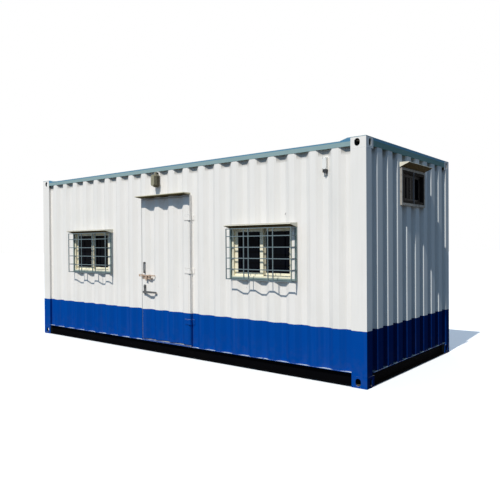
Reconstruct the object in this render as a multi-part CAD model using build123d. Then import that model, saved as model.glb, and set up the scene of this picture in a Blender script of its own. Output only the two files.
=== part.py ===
from build123d import *
import math
import os

# Portable site cabin made from a 20 ft steel freight container: welded frame on
# eight corner castings, corrugated walls and roof, insulated lining, one side door,
# two barred side windows and one small end window.  Millimetres, +X along the
# length, -Y the door side, +Z up.  The origin is the centre of the four bottom
# twistlock apertures, on the ground.

# ---- overall size and corner castings ------------------------------------------
LENGTH = 6058
WIDTH = 2438
HEIGHT = 2591
CASTING_LENGTH = 178
CASTING_WIDTH = 162
CASTING_HEIGHT = 118
CASTING_PLATE = 28           # thickness of the slotted face
CASTING_WALL = 12            # thickness of the other faces
APERTURE_LENGTH = 124.5      # twistlock slot
APERTURE_WIDTH = 63.5
SLOT_INSET_X = 102.5         # slot centre from the end face
SLOT_INSET_Y = 89.5          # slot centre from the side face
LASHING_HEIGHT = 79.5        # upright slots in the outer faces
LASHING_SIDE_WIDTH = 63.5
LASHING_END_WIDTH = 51

# ---- frame steelwork -----------------------------------------------------------
POST_STEEL = 6
POST_SIDE_LEG = CASTING_LENGTH
POST_END_LEG = 119
POST_RETURN = 36
TOP_RAIL = 60                # square tube
TOP_RAIL_WALL = 3
TOP_RAIL_DROP = 30           # casting top down to rail top
BOTTOM_RAIL_TOP = 150
BOTTOM_RAIL_FOOT = 12        # ground clearance of the rails
BOTTOM_RAIL_FLANGE = 45
BOTTOM_RAIL_STEEL = 5
CROSS_MEMBER_COUNT = 13
CROSS_MEMBER_FLANGE = 45
CROSS_MEMBER_STEEL = 5
CROSS_MEMBER_CLEARANCE = 20  # ground clearance
HEADER_STEEL = 4
HEADER_REACH = 300           # from the end face
HEADER_SLOPE = 90
FLOOR_THICKNESS = 28
FLOOR_TOP = 165

# ---- corrugated sheets -----------------------------------------------------------
SHEET = 2
WALL_SETBACK = 3             # wall crests behind the frame's outer faces
SIDE_PITCH = 281
SIDE_TROUGH = 70
SIDE_SLOPE = 68
SIDE_DEPTH = 36
END_PITCH = 257
END_TROUGH = 104
END_SLOPE = 18
END_DEPTH = 46
ROOF_PITCH = 209
ROOF_TROUGH = 91
ROOF_SLOPE = 14
ROOF_DEPTH = 20
ROOF_MARGIN = 110            # flat border at the rails

# ---- lining ------------------------------------------------------------------------
LINING = 50                  # insulation and board
CEILING = 60
WALL_GAP = 1                 # lining clear of folded post lips

# ---- door ----------------------------------------------------------------------------
DOOR_SHIFT = 22              # door sits this far off the rib pattern
DOOR_WIDTH = 983
DOOR_HEAD = 365              # wall over the doorway, up to the top rail
DOOR_GAP = 9
JAMB_STEEL = 5
LEAF_TUBE = 25               # depth of the leaf's tube frame
LEAF_TUBE_FACE = 40
LEAF_BOARD = 6
STOP_GAP = 6
STOP_WIDTH = 20
HINGE_FOOT = 310             # bottom hinge above the floor
HINGE_MIDDLE = 981           # middle hinge above the floor
HINGE_HEAD = 291             # top hinge below the door head
HINGE_HEIGHT = 70
HINGE_DOOR_LEAF = 104
HINGE_WALL_LEAF = 44
HINGE_STEEL = 6
HINGE_PIN_RADIUS = 5
HINGE_BARREL_RADIUS = 9
HINGE_CLEARANCE = 0.3
PIN_CLEARANCE = 0.05

# ---- door furniture ---------------------------------------------------------------
PULL_INSET = 60.5            # centre line of the pull from the leaf's edge
PULL_BOTTOM = 1095
PULL_LENGTH = 157
PULL_STRAP = 22
PULL_STEEL = 5
PULL_REACH = 27
PULL_FOOT = 24
PULL_BEND = 10
BOLT_Z = 1063
BOLT_RADIUS = 8
BOLT_LENGTH = 270
BOLT_TRAVEL = 45
BOLT_OFFSET = 16             # rod centre from the crest plane
BOLT_CLEARANCE = 0.3
BOLT_SETBACK = 8             # drawn bolt's tip behind the leaf's edge
BOLT_PLATE = (180, 56, 3)
BOLT_PLATE_DROP = 22         # plate centre below the rod
GUIDE_WIDTH = 30
GUIDE_STEEL = 4
TAB_WIDTH = 26
TAB_DROP = 72
TAB_STEEL = 6
TAB_CLEARANCE = 5            # between the thrown bolt's tab and the first staple
KEEPER_GRIP = 30             # length of the keeper along the bolt
KEEPER_CLEARANCE = 4
LEVER_INSET = 55.5           # spindle from the leaf's edge
LEVER_PIVOT_Z = 831
LEVER_LENGTH = 262
LEVER_HUB_RADIUS = 16
LEVER_TIP_RADIUS = 12
LEVER_THICKNESS = 12
LEVER_PLATE = (46, 132, 6)
LEVER_PLATE_RISE = 37        # plate centre above the spindle
LEVER_REACH = 25
SPINDLE_RADIUS = 6
LOCK_RADIUS = 14
LOCK_REACH = 12

# ---- canopy, hoods, windows and grilles ----------------------------------------
CANOPY_WIDTH = 970
CANOPY_SHIFT = -12           # canopy's centre from the door's
CANOPY_REACH = 115
CANOPY_BACK = 24             # height against the wall
CANOPY_LIP = 10
CANOPY_HEAD = 12             # above the door's head
WINDOW_SHIFT = -4            # middle between the windows, off the rib pattern
WINDOW_SPACING = 3338        # between the two window centres
WINDOW_WIDTH = 900
WINDOW_HEIGHT = 625
WINDOW_SILL = 1085
WINDOW_FRAME_FACE = 30
WINDOW_FRAME_FRONT = 6       # behind the crest plane
SASH_FACE = 45
SASH_DEPTH = 20
SASH_SETBACK = 30            # outer sash behind the frame's front
SASH_GAP = 4                 # width of the rib between the two tracks
SASH_LAP = 20                # the two sashes past each other
TRACK_DEPTH = 8
TRACK_CLEARANCE = 2
GLASS = 5
GLASS_REBATE = 9
GRILLE_PAST = 62             # cage beyond the window on the right, flush on the left
GRILLE_HEAD = 28             # cage's top below the window's
GRILLE_LAP = 15              # cage below the window's sill
GRILLE_REACH = 110
GRILLE_BAR = 10
GRILLE_FLANGE = 10           # depth of the back frame
GRILLE_FLANGE_STEEL = 6
GRILLE_FLAT = 28             # flat bar on the wall, along the foot and the right side
GRILLE_FLAT_STEEL = 5
GRILLE_ROWS = 4
GRILLE_FIRST_ROW = 126       # above the cage's foot
GRILLE_ROW_PITCH = 130
GRILLE_PAIR_OFFSET = 178     # pair of upright bars from their middle
GRILLE_PAIR_SHIFT = 12       # that middle from the cage's
GRILLE_PAIR_SPACING = 70
HOOD_REACH = 130
HOOD_PAST = 18               # hood beyond the cage on the left
HOOD_BACK = 50               # height against the wall
HOOD_FALL = 12               # slope of the top sheet
HOOD_LIP = 8
HOOD_STEEL = 2
END_WINDOW_Y = -27
END_WINDOW_WIDTH = 640
END_WINDOW_HEIGHT = 372
END_WINDOW_HEAD = 175        # wall over the end window, up to the top rail
END_FRAME_FACE = 30
END_FRAME_PROUD = 20
END_LINER = 30
END_GUARD_BAR = 12
END_SASH_FACE = 26
END_GLASS_DEPTH = 36
END_HOOD_REACH = 112
END_HOOD_BACK = 56
END_HOOD_FALL = 4
END_HOOD_LIP = 6
END_HOOD_OVERHANG = 11

# ---- electrical fittings -----------------------------------------------------------
LAMP_X = -117
LAMP_DROP = 41               # lamp's top below the top rail
LAMP_WIDTH = 90
LAMP_HEIGHT = 176
LAMP_BODY = 58               # wall to the lens
LAMP_DEPTH = 96              # wall to the lens' face
LAMP_CHAMFER = 26
LAMP_RIM = 5                 # lens inside the housing's edge
LENS_TAPER = 7
NECK_WIDTH = 36              # cable neck on top of the lamp
NECK_HEIGHT = 28
NECK_DEPTH = 42
BOX_FROM_END = 400           # furthest the box's rib may be from the end face
BOX_SHIFT = 8                # box centre from its rib's centre
BOX_SIZE = (50, 40, 128)
BOX_LID = 5
BOX_LID_STEP = 2
BOX_DROP = 85                # box top below the top rail
SOCKET_INSET = 1             # dark socket under the box, in from its sides
SOCKET_DEPTH = 34
SOCKET_HEIGHT = 32
GLAND_RADIUS = 8
GLAND_LENGTH = 30

# ---- worked out from the above ------------------------------------------------------
HALF_LENGTH = LENGTH / 2
HALF_WIDTH = WIDTH / 2
POST_BOTTOM = CASTING_HEIGHT
POST_TOP = HEIGHT - CASTING_HEIGHT
RAIL_TOP = HEIGHT - TOP_RAIL_DROP
RAIL_BOTTOM = RAIL_TOP - TOP_RAIL
RAIL_HALF_LENGTH = HALF_LENGTH - CASTING_LENGTH
RAIL_HALF_WIDTH = HALF_WIDTH - CASTING_WIDTH
CREST_Y = -HALF_WIDTH + WALL_SETBACK
CREST_X = HALF_LENGTH - WALL_SETBACK
WALL_HALF_LENGTH = HALF_LENGTH - POST_SIDE_LEG
WALL_HALF_WIDTH = HALF_WIDTH - POST_END_LEG
LINING_OUTER_Y = CREST_Y + SIDE_DEPTH + SHEET
LINING_INNER_Y = LINING_OUTER_Y + LINING
LINING_OUTER_X = CREST_X - END_DEPTH - SHEET
LINING_INNER_X = LINING_OUTER_X - LINING
CEILING_TOP = POST_TOP - WALL_GAP
CEILING_BOTTOM = CEILING_TOP - CEILING
WEB_Y = -HALF_WIDTH + BOTTOM_RAIL_FLANGE
DOOR_TOP = RAIL_BOTTOM - DOOR_HEAD
DOOR_X0 = DOOR_SHIFT - DOOR_WIDTH / 2
DOOR_X1 = DOOR_SHIFT + DOOR_WIDTH / 2
LEAF_X0 = DOOR_X0 + JAMB_STEEL + DOOR_GAP
LEAF_X1 = DOOR_X1 - JAMB_STEEL - DOOR_GAP
LEAF_Z0 = FLOOR_TOP + DOOR_GAP
LEAF_Z1 = DOOR_TOP - JAMB_STEEL - DOOR_GAP
HINGE_HEIGHTS = (FLOOR_TOP + HINGE_FOOT, FLOOR_TOP + HINGE_MIDDLE, DOOR_TOP - HINGE_HEAD)
PULL_X = LEAF_X0 + PULL_INSET
LEVER_PIVOT_X = LEAF_X0 + LEVER_INSET
BOLT_Y = CREST_Y - BOLT_OFFSET
KEEPER_X1 = LEAF_X0 - DOOR_GAP
CANOPY_BOTTOM = DOOR_TOP + CANOPY_HEAD
LEAF_FRAME_FRONT = CREST_Y + SIDE_DEPTH + SHEET
LEAF_BACK = LEAF_FRAME_FRONT + LEAF_TUBE + LEAF_BOARD
WINDOW_TOP = WINDOW_SILL + WINDOW_HEIGHT
WINDOW_CENTRES = tuple(WINDOW_SHIFT + side * WINDOW_SPACING / 2 for side in (-1, 1))
SASH_FRONT = CREST_Y + WINDOW_FRAME_FRONT + SASH_SETBACK
END_WINDOW_TOP = RAIL_BOTTOM - END_WINDOW_HEAD
END_WINDOW_SILL = END_WINDOW_TOP - END_WINDOW_HEIGHT
GRILLE_WIDTH = WINDOW_WIDTH + GRILLE_PAST
GRILLE_SHIFT = GRILLE_PAST / 2
GRILLE_BOTTOM = WINDOW_SILL - GRILLE_LAP
GRILLE_TOP = WINDOW_TOP - GRILLE_HEAD
LAMP_TOP = RAIL_BOTTOM - LAMP_DROP
BOX_X = math.floor((HALF_LENGTH - BOX_FROM_END) / SIDE_PITCH) * SIDE_PITCH + BOX_SHIFT
BOX_TOP = RAIL_BOTTOM - BOX_DROP


# ---- helpers ----------------------------------------------------------------------------
def block(x0, x1, y0, y1, z0, z1):
    """Rectangular solid between two opposite corners."""
    size = (abs(x1 - x0), abs(y1 - y0), abs(z1 - z0))
    return Pos((x0 + x1) / 2, (y0 + y1) / 2, (z0 + z1) / 2) * Box(*size)


def prism(points, direction):
    """Solid swept from a closed flat outline of 3-D points."""
    return Solid.extrude(Face(Wire.make_polygon([Vector(*p) for p in points])), Vector(*direction))


def rod(start, end, radius):
    """Round bar between two points."""
    axis = Vector(*end) - Vector(*start)
    plane = Plane(origin=start, z_dir=axis)
    return Solid.make_cylinder(radius, axis.length, plane)


def mirrored(shapes, plane):
    """The shapes and their mirror images."""
    return list(shapes) + [mirror(shape, plane) for shape in shapes]


def at_four_corners(shape):
    """Copies of a +X -Y corner piece at all four corners."""
    return mirrored(mirrored([shape], Plane.XZ), Plane.YZ)


def save(name, shapes):
    """Write one node, holding one or more separate solids."""
    solids = []
    for shape in shapes if isinstance(shapes, (list, tuple)) else [shapes]:
        solids.extend(shape.solids())
    node = Compound(children=solids) if len(solids) > 1 else solids[0]
    export_step(node, f"parts/{name}.step")


def wave_points(start, end, pitch, trough, slope, depth, inner):
    """(distance, depth) points of a trapezoid wave with a trough centred on zero.

    The inner line is the sheet's far side, offset square to each face.
    """
    bevel = SHEET * math.tan(math.atan2(depth, slope) / 2) if inner else 0
    lift = SHEET if inner else 0
    first = math.floor(start / pitch) - 1
    last = math.ceil(end / pitch) + 1
    wave = []
    for index in range(first, last + 1):
        centre = index * pitch
        wave.append((centre - trough / 2 - slope - bevel, lift))
        wave.append((centre - trough / 2 - bevel, depth + lift))
        wave.append((centre + trough / 2 + bevel, depth + lift))
        wave.append((centre + trough / 2 + slope + bevel, lift))

    def depth_at(distance):
        for (u0, v0), (u1, v1) in zip(wave, wave[1:]):
            if u0 <= distance <= u1:
                return v0 + (v1 - v0) * (distance - u0) / (u1 - u0)

    inside = [point for point in wave if start < point[0] < end]
    return [(start, depth_at(start))] + inside + [(end, depth_at(end))]


def corrugated(start, end, place, direction, pitch, trough, slope, depth):
    """Corrugated sheet; place(u, v) turns a profile point into a 3-D point."""
    wave = (start, end, pitch, trough, slope, depth)
    outline = wave_points(*wave, inner=False) + wave_points(*wave, inner=True)[::-1]
    return prism([place(u, v) for u, v in outline], direction)


def behind_front_wall(start, end, z0, z1):
    """All that lies behind the front wall's outer surface, to fit a piece to the ribs."""
    profile = (SIDE_PITCH, SIDE_TROUGH, SIDE_SLOPE, SIDE_DEPTH)
    wave = wave_points(start - 1, end + 1, *profile, inner=False)
    back = CREST_Y + 2 * SIDE_DEPTH
    outline = [(u, CREST_Y + v) for u, v in wave] + [(end + 1, back), (start - 1, back)]
    return prism([(x, y, z0 - 1) for x, y in outline], (0, 0, z1 - z0 + 2))


def behind_end_wall(start, end, z0, z1):
    """The same for the right-hand end wall."""
    profile = (END_PITCH, END_TROUGH, END_SLOPE, END_DEPTH)
    wave = wave_points(start - 1, end + 1, *profile, inner=False)
    back = CREST_X - 2 * END_DEPTH
    outline = [(CREST_X - v, u) for u, v in wave] + [(back, end + 1), (back, start - 1)]
    return prism([(x, y, z0 - 1) for x, y in outline], (0, 0, z1 - z0 + 2))


def side_sheet(start, end, z0, z1):
    """Front wall sheet between two X values and two heights."""
    profile = (SIDE_PITCH, SIDE_TROUGH, SIDE_SLOPE, SIDE_DEPTH)
    return corrugated(start, end, lambda u, v: (u, CREST_Y + v, z0), (0, 0, z1 - z0), *profile)


def end_sheet():
    """Right-hand end wall sheet."""
    profile = (END_PITCH, END_TROUGH, END_SLOPE, END_DEPTH)
    rise = (0, 0, RAIL_BOTTOM - BOTTOM_RAIL_TOP)
    limits = (-WALL_HALF_WIDTH, WALL_HALF_WIDTH)
    sheet = corrugated(*limits, lambda u, v: (CREST_X - v, u, BOTTOM_RAIL_TOP), rise, *profile)
    casting = block(RAIL_HALF_LENGTH, HALF_LENGTH, -HALF_WIDTH, -RAIL_HALF_WIDTH, POST_TOP, HEIGHT)
    return sheet - mirrored([casting], Plane.XZ)


def ring(x0, x1, z0, z1, face, y0, y1):
    """Upright rectangular frame in the XZ plane, seen face width all round."""
    outer = block(x0, x1, y0, y1, z0, z1)
    return outer - block(x0 + face, x1 - face, y0 - 1, y1 + 1, z0 + face, z1 - face)


def end_ring(y0, y1, z0, z1, face, x0, x1):
    """Upright rectangular frame in the YZ plane."""
    outer = block(x0, x1, y0, y1, z0, z1)
    return outer - block(x0 - 1, x1 + 1, y0 + face, y1 - face, z0 + face, z1 - face)


# ---- corner castings and frame ------------------------------------------------------
def upright_slot(width, height, plane, depth):
    """Stadium-shaped cutter standing on end."""
    return extrude(plane * SlotOverall(height, width, rotation=90), depth, both=True)


def bottom_casting():
    """Hollow casting at the +X -Y bottom corner, slotted underneath."""
    x1, y0 = HALF_LENGTH, -HALF_WIDTH
    body = block(x1 - CASTING_LENGTH, x1, y0, y0 + CASTING_WIDTH, 0, CASTING_HEIGHT)
    body -= block(x1 - CASTING_LENGTH + CASTING_WALL, x1 - CASTING_WALL,
                  y0 + CASTING_WALL, y0 + CASTING_WIDTH - CASTING_WALL,
                  CASTING_PLATE, CASTING_HEIGHT - CASTING_WALL)
    slot_x, slot_y = x1 - SLOT_INSET_X, y0 + SLOT_INSET_Y
    mid_z = CASTING_HEIGHT / 2
    body -= extrude(Plane((slot_x, slot_y, 0)) * SlotOverall(APERTURE_LENGTH, APERTURE_WIDTH),
                    CASTING_PLATE + 1, both=True)
    side = Plane((slot_x, y0, mid_z), x_dir=(1, 0, 0), z_dir=(0, -1, 0))
    body -= upright_slot(LASHING_SIDE_WIDTH, LASHING_HEIGHT, side, CASTING_WALL + 1)
    end = Plane((x1, slot_y, mid_z), x_dir=(0, 1, 0), z_dir=(1, 0, 0))
    body -= upright_slot(LASHING_END_WIDTH, LASHING_HEIGHT, end, CASTING_WALL + 1)
    return body


def corner_post():
    """Folded steel post at the +X -Y corner, lips turned inwards."""
    x1, y0 = HALF_LENGTH, -HALF_WIDTH
    t = POST_STEEL
    side_end = x1 - POST_SIDE_LEG
    end_end = y0 + POST_END_LEG
    section = [
        (side_end, y0 + POST_RETURN), (side_end, y0), (x1, y0), (x1, end_end),
        (x1 - POST_RETURN, end_end), (x1 - POST_RETURN, end_end - t), (x1 - t, end_end - t),
        (x1 - t, y0 + t), (side_end + t, y0 + t), (side_end + t, y0 + POST_RETURN),
    ]
    return prism([(x, y, POST_BOTTOM) for x, y in section], (0, 0, POST_TOP - POST_BOTTOM))


def square_tube(x0, x1, y0, y1, z0, z1, wall, along):
    """Open-ended square tube along X or Y."""
    outer = block(x0, x1, y0, y1, z0, z1)
    if along == "x":
        return outer - block(x0 - 1, x1 + 1, y0 + wall, y1 - wall, z0 + wall, z1 - wall)
    return outer - block(x0 + wall, x1 - wall, y0 - 1, y1 + 1, z0 + wall, z1 - wall)


def channel(z0, z1, flange, steel):
    """Channel section with its back at zero and its flanges towards minus."""
    return [
        (0, z0), (0, z1), (-flange, z1), (-flange, z1 - steel), (-steel, z1 - steel),
        (-steel, z0 + steel), (-flange, z0 + steel), (-flange, z0),
    ]


def bottom_side_rail():
    """Channel under the front wall, flanges outwards."""
    section = channel(BOTTOM_RAIL_FOOT, BOTTOM_RAIL_TOP, BOTTOM_RAIL_FLANGE, BOTTOM_RAIL_STEEL)
    points = [(-RAIL_HALF_LENGTH, WEB_Y + v, z) for v, z in section]
    return prism(points, (2 * RAIL_HALF_LENGTH, 0, 0))


def bottom_end_rail():
    """Channel under the right-hand end wall, flanges outwards."""
    flange = END_DEPTH + WALL_SETBACK + SHEET
    section = channel(BOTTOM_RAIL_FOOT, BOTTOM_RAIL_TOP, flange, BOTTOM_RAIL_STEEL)
    web_x = HALF_LENGTH - flange
    points = [(web_x - v, -RAIL_HALF_WIDTH, z) for v, z in section]
    return prism(points, (0, 2 * RAIL_HALF_WIDTH, 0))


def cross_members():
    """Channels under the floor, from side rail to side rail."""
    top = FLOOR_TOP - FLOOR_THICKNESS
    section = channel(CROSS_MEMBER_CLEARANCE, top, CROSS_MEMBER_FLANGE, CROSS_MEMBER_STEEL)
    reach = 2 * RAIL_HALF_LENGTH - 2 * CROSS_MEMBER_FLANGE
    step = reach / (CROSS_MEMBER_COUNT - 1)
    members = []
    for index in range(CROSS_MEMBER_COUNT):
        x = -reach / 2 + index * step + CROSS_MEMBER_FLANGE / 2
        members.append(prism([(x + v, WEB_Y, z) for v, z in section], (0, -2 * WEB_Y, 0)))
    return members


def header_plate():
    """Plate over the right-hand end, raised level with the casting tops and gusseted."""
    low, high = RAIL_TOP, HEIGHT - WALL_GAP
    x1 = HALF_LENGTH
    ramp_foot = x1 - HEADER_REACH
    ramp_head = ramp_foot + HEADER_SLOPE
    inner = x1 - CASTING_LENGTH
    t = HEADER_STEEL
    fold = [
        (ramp_foot, low), (ramp_foot, low + t), (ramp_head, high), (inner, high),
        (inner, high - t), (ramp_head + t, high - t), (ramp_foot + 2 * t, low),
    ]
    plate = prism([(x, -HALF_WIDTH, z) for x, z in fold], (0, WIDTH, 0))
    nose = block(inner - 1, x1, -RAIL_HALF_WIDTH, RAIL_HALF_WIDTH, high - t, high)
    web = [(ramp_foot, low), (ramp_foot, low + t), (ramp_head, high), (inner, high), (inner, low)]
    gusset = prism([(x, -HALF_WIDTH, z) for x, z in web], (0, t, 0))
    lip = block(x1 - t, x1, -RAIL_HALF_WIDTH, RAIL_HALF_WIDTH, low, high)
    return plate + nose + gusset + mirror(gusset, Plane.XZ) + lip


def roof_sheet():
    """Pressed roof: a flat sheet with a row of tray-shaped troughs across it."""
    x_end = HALF_LENGTH - HEADER_REACH
    y_end = HALF_WIDTH
    thick = 3 * ROOF_DEPTH
    top = RAIL_TOP + SHEET
    body = block(-x_end, x_end, -y_end, y_end, top - thick, top)
    half_x, half_y = ROOF_TROUGH / 2, HALF_WIDTH - ROOF_MARGIN - ROOF_SLOPE
    count = int((2 * x_end - ROOF_PITCH / 2) // ROOF_PITCH)
    trough = loft([
        Plane((0, 0, top - ROOF_DEPTH)) * Rectangle(2 * half_x, 2 * half_y),
        Plane((0, 0, top)) * Rectangle(2 * (half_x + ROOF_SLOPE), 2 * (half_y + ROOF_SLOPE)),
    ], ruled=True)
    first = -(count - 1) / 2 * ROOF_PITCH
    troughs = [Pos(first + index * ROOF_PITCH, 0, 0) * trough for index in range(count)]
    body -= troughs
    return body - Pos(0, 0, -SHEET) * body


# ---- walls and lining ------------------------------------------------------------------
def window_cutter(centre):
    """Hole for a side window, through sheet and lining."""
    half = WINDOW_WIDTH / 2
    return block(centre - half, centre + half, -HALF_WIDTH - 1, LINING_INNER_Y + 1,
                 WINDOW_SILL, WINDOW_TOP)


def end_window_cutter():
    """Hole for the end window, through sheet and lining."""
    half = END_WINDOW_WIDTH / 2
    return block(LINING_INNER_X - 1, HALF_LENGTH + 1, END_WINDOW_Y - half, END_WINDOW_Y + half,
                 END_WINDOW_SILL, END_WINDOW_TOP)


def front_lining(x0, x1, z0):
    """Front lining slab from a height up to the rail."""
    return block(x0, x1, LINING_OUTER_Y, LINING_INNER_Y, z0, CEILING_TOP)


def build_walls():
    """Corrugated sheets, lining, floor and ceiling."""
    left, right = [window_cutter(centre) for centre in WINDOW_CENTRES]
    z0, z1 = BOTTOM_RAIL_TOP, RAIL_BOTTOM
    save("front_wall_left", side_sheet(-WALL_HALF_LENGTH, DOOR_X0, z0, z1) - left)
    save("front_wall_right", side_sheet(DOOR_X1, WALL_HALF_LENGTH, z0, z1) - right)
    save("front_wall_over_door", side_sheet(DOOR_X0, DOOR_X1, DOOR_TOP, z1))
    save("back_wall", mirror(side_sheet(-WALL_HALF_LENGTH, WALL_HALF_LENGTH, z0, z1), Plane.XZ))
    save("right_end_wall", end_sheet() - end_window_cutter())
    save("left_end_wall", mirror(end_sheet(), Plane.YZ))
    save("roof_sheet", roof_sheet())
    save("front_lining_left", front_lining(-LINING_OUTER_X, DOOR_X0, FLOOR_TOP) - left)
    save("front_lining_right", front_lining(DOOR_X1, LINING_OUTER_X, FLOOR_TOP) - right)
    save("front_lining_over_door", front_lining(DOOR_X0, DOOR_X1, DOOR_TOP))
    back = block(-LINING_OUTER_X, LINING_OUTER_X, -LINING_INNER_Y, -LINING_OUTER_Y,
                 FLOOR_TOP, CEILING_TOP)
    save("back_lining", back)
    end = block(LINING_INNER_X, LINING_OUTER_X, LINING_INNER_Y, -LINING_INNER_Y,
                FLOOR_TOP, CEILING_TOP)
    save("right_end_lining", end - end_window_cutter())
    save("left_end_lining", mirror(end, Plane.YZ))
    save("ceiling_lining", block(-LINING_INNER_X, LINING_INNER_X, LINING_INNER_Y,
                                 -LINING_INNER_Y, CEILING_BOTTOM, CEILING_TOP))
    floor_y = WEB_Y
    floor_x = HALF_LENGTH - END_DEPTH - WALL_SETBACK - SHEET
    save("floor", block(-floor_x, floor_x, floor_y, -floor_y, FLOOR_TOP - FLOOR_THICKNESS,
                        FLOOR_TOP) - floor_notches())


def floor_notches():
    """Clearance in the floor's corners for the castings and posts."""
    notch = block(RAIL_HALF_LENGTH, HALF_LENGTH, -HALF_WIDTH, -RAIL_HALF_WIDTH, 0,
                  FLOOR_TOP + 1)
    return at_four_corners(notch)


def build_frame():
    """Castings, posts, rails and the parts under the floor."""
    castings = at_four_corners(bottom_casting())
    save("bottom_corner_castings", castings)
    save("top_corner_castings", [Pos(0, 0, HEIGHT) * mirror(c, Plane.XY) for c in castings])
    save("corner_posts", at_four_corners(corner_post()))
    save("bottom_side_rails", mirrored([bottom_side_rail()], Plane.XZ))
    save("bottom_end_rails", mirrored([bottom_end_rail()], Plane.YZ))
    side = square_tube(-RAIL_HALF_LENGTH, RAIL_HALF_LENGTH, -HALF_WIDTH, -HALF_WIDTH + TOP_RAIL,
                       RAIL_BOTTOM, RAIL_TOP, TOP_RAIL_WALL, "x")
    save("top_side_rails", mirrored([side], Plane.XZ))
    end = square_tube(HALF_LENGTH - TOP_RAIL, HALF_LENGTH, -RAIL_HALF_WIDTH, RAIL_HALF_WIDTH,
                      RAIL_BOTTOM, RAIL_TOP, TOP_RAIL_WALL, "y")
    save("top_end_rails", mirrored([end], Plane.YZ))
    save("header_plates", mirrored([header_plate()], Plane.YZ))
    save("cross_members", cross_members())


# ---- door ---------------------------------------------------------------------------------
def door_surround():
    """Jambs and head that line the doorway, with the stop the leaf closes near."""
    outer = block(DOOR_X0, DOOR_X1, CREST_Y, LINING_INNER_Y, FLOOR_TOP, DOOR_TOP)
    hole = block(DOOR_X0 + JAMB_STEEL, DOOR_X1 - JAMB_STEEL, CREST_Y - 1, LINING_INNER_Y + 1,
                 FLOOR_TOP - 1, DOOR_TOP - JAMB_STEEL)
    stop_y = LEAF_BACK + STOP_GAP
    stop = block(DOOR_X0, DOOR_X1, stop_y, LINING_INNER_Y, FLOOR_TOP, DOOR_TOP)
    stop -= block(DOOR_X0 + STOP_WIDTH, DOOR_X1 - STOP_WIDTH, stop_y - 1, LINING_INNER_Y + 1,
                  FLOOR_TOP - 1, DOOR_TOP - STOP_WIDTH)
    return outer - hole + stop


def door_sill():
    """Threshold bar on the bottom rail, level with the floor."""
    return block(DOOR_X0, DOOR_X1, CREST_Y, WEB_Y, BOTTOM_RAIL_TOP, FLOOR_TOP)


def leaf_frame():
    """Welded tube frame of the leaf with a middle rail, and edge bars closing the ribs."""
    y0, y1 = LEAF_FRAME_FRONT, LEAF_FRAME_FRONT + LEAF_TUBE
    frame = ring(LEAF_X0, LEAF_X1, LEAF_Z0, LEAF_Z1, LEAF_TUBE_FACE, y0, y1)
    middle = (LEAF_Z0 + LEAF_Z1) / 2
    frame += block(LEAF_X0 + 1, LEAF_X1 - 1, y0, y1, middle - LEAF_TUBE_FACE / 2,
                   middle + LEAF_TUBE_FACE / 2)
    for x in (LEAF_X0, LEAF_X1 - JAMB_STEEL):
        frame += block(x, x + JAMB_STEEL, CREST_Y, y1, LEAF_Z0, LEAF_Z1)
    return frame


def hinge_axis():
    """X and Y of the hinge pins, in front of the leaf's right-hand gap."""
    return DOOR_X1 - JAMB_STEEL - DOOR_GAP / 2, CREST_Y - HINGE_BARREL_RADIUS


def hinge_halves(z):
    """Wall half (lower knuckle and pin) and door half (upper knuckle) of one hinge."""
    x, y = hinge_axis()
    half = HINGE_HEIGHT / 2
    gap = HINGE_CLEARANCE
    plate_y0, plate_y1 = CREST_Y - HINGE_STEEL, CREST_Y
    barrel = HINGE_BARREL_RADIUS

    def knuckle(z0, z1):
        return Pos(x, y, (z0 + z1) / 2) * Cylinder(barrel, z1 - z0)

    offset = barrel * 0.4
    outline = wave_points(DOOR_X1, x + HINGE_WALL_LEAF, SIDE_PITCH, SIDE_TROUGH, SIDE_SLOPE,
                          SIDE_DEPTH, inner=False)
    back = [(x + offset, CREST_Y), (DOOR_X1, CREST_Y)] + [(u, CREST_Y + v) for u, v in outline]
    front = [(u, v - HINGE_STEEL) for u, v in back[:0:-1]]
    front[-1] = (DOOR_X1 + HINGE_STEEL, plate_y0)
    front.append((x + offset, plate_y0))
    wall = prism([(u, v, z - half) for u, v in back + front], (0, 0, HINGE_HEIGHT))
    wall -= block(x, x + barrel + 2, plate_y0 - 1, plate_y1 + 1, z, z + half + 1)
    wall += knuckle(z - half, z) - block(x - barrel - 1, x + barrel + 1, CREST_Y, 0,
                                         z - half - 1, z + 1)
    wall += Pos(x, y, z) * Cylinder(HINGE_PIN_RADIUS, HINGE_HEIGHT - 2)
    door = block(x - HINGE_DOOR_LEAF, x - offset, plate_y0, plate_y1, z - half, z + half)
    door -= block(x - barrel - 2, x, plate_y0 - 1, plate_y1 + 1, z - half - 1, z + gap)
    door += knuckle(z + gap, z + half)
    door -= Pos(x, y, z) * Cylinder(HINGE_PIN_RADIUS + PIN_CLEARANCE, HINGE_HEIGHT + 2)
    return wall, door


def build_door():
    """Doorway, leaf, hinges and furniture."""
    save("door_surround", door_surround())
    save("door_sill", door_sill())
    t = JAMB_STEEL
    save("door_skin", side_sheet(LEAF_X0 + t, LEAF_X1 - t, LEAF_Z0, LEAF_Z1))
    save("door_leaf_frame", leaf_frame())
    board_y = LEAF_FRAME_FRONT + LEAF_TUBE
    save("door_lining", block(LEAF_X0, LEAF_X1, board_y, board_y + LEAF_BOARD, LEAF_Z0, LEAF_Z1))
    halves = [hinge_halves(z) for z in HINGE_HEIGHTS]
    save("hinge_wall_halves", [wall for wall, door in halves])
    save("hinge_door_halves", [door for wall, door in halves])
    save("pull_handle", pull_handle())
    save("bolt_guides", bolt_guides())
    save("slide_bolt", slide_bolt())
    save("bolt_keeper", bolt_keeper())
    save("lever_plate", lever_plate())
    save("lever_handle", lever_handle())
    save("door_canopy", door_canopy())


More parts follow.
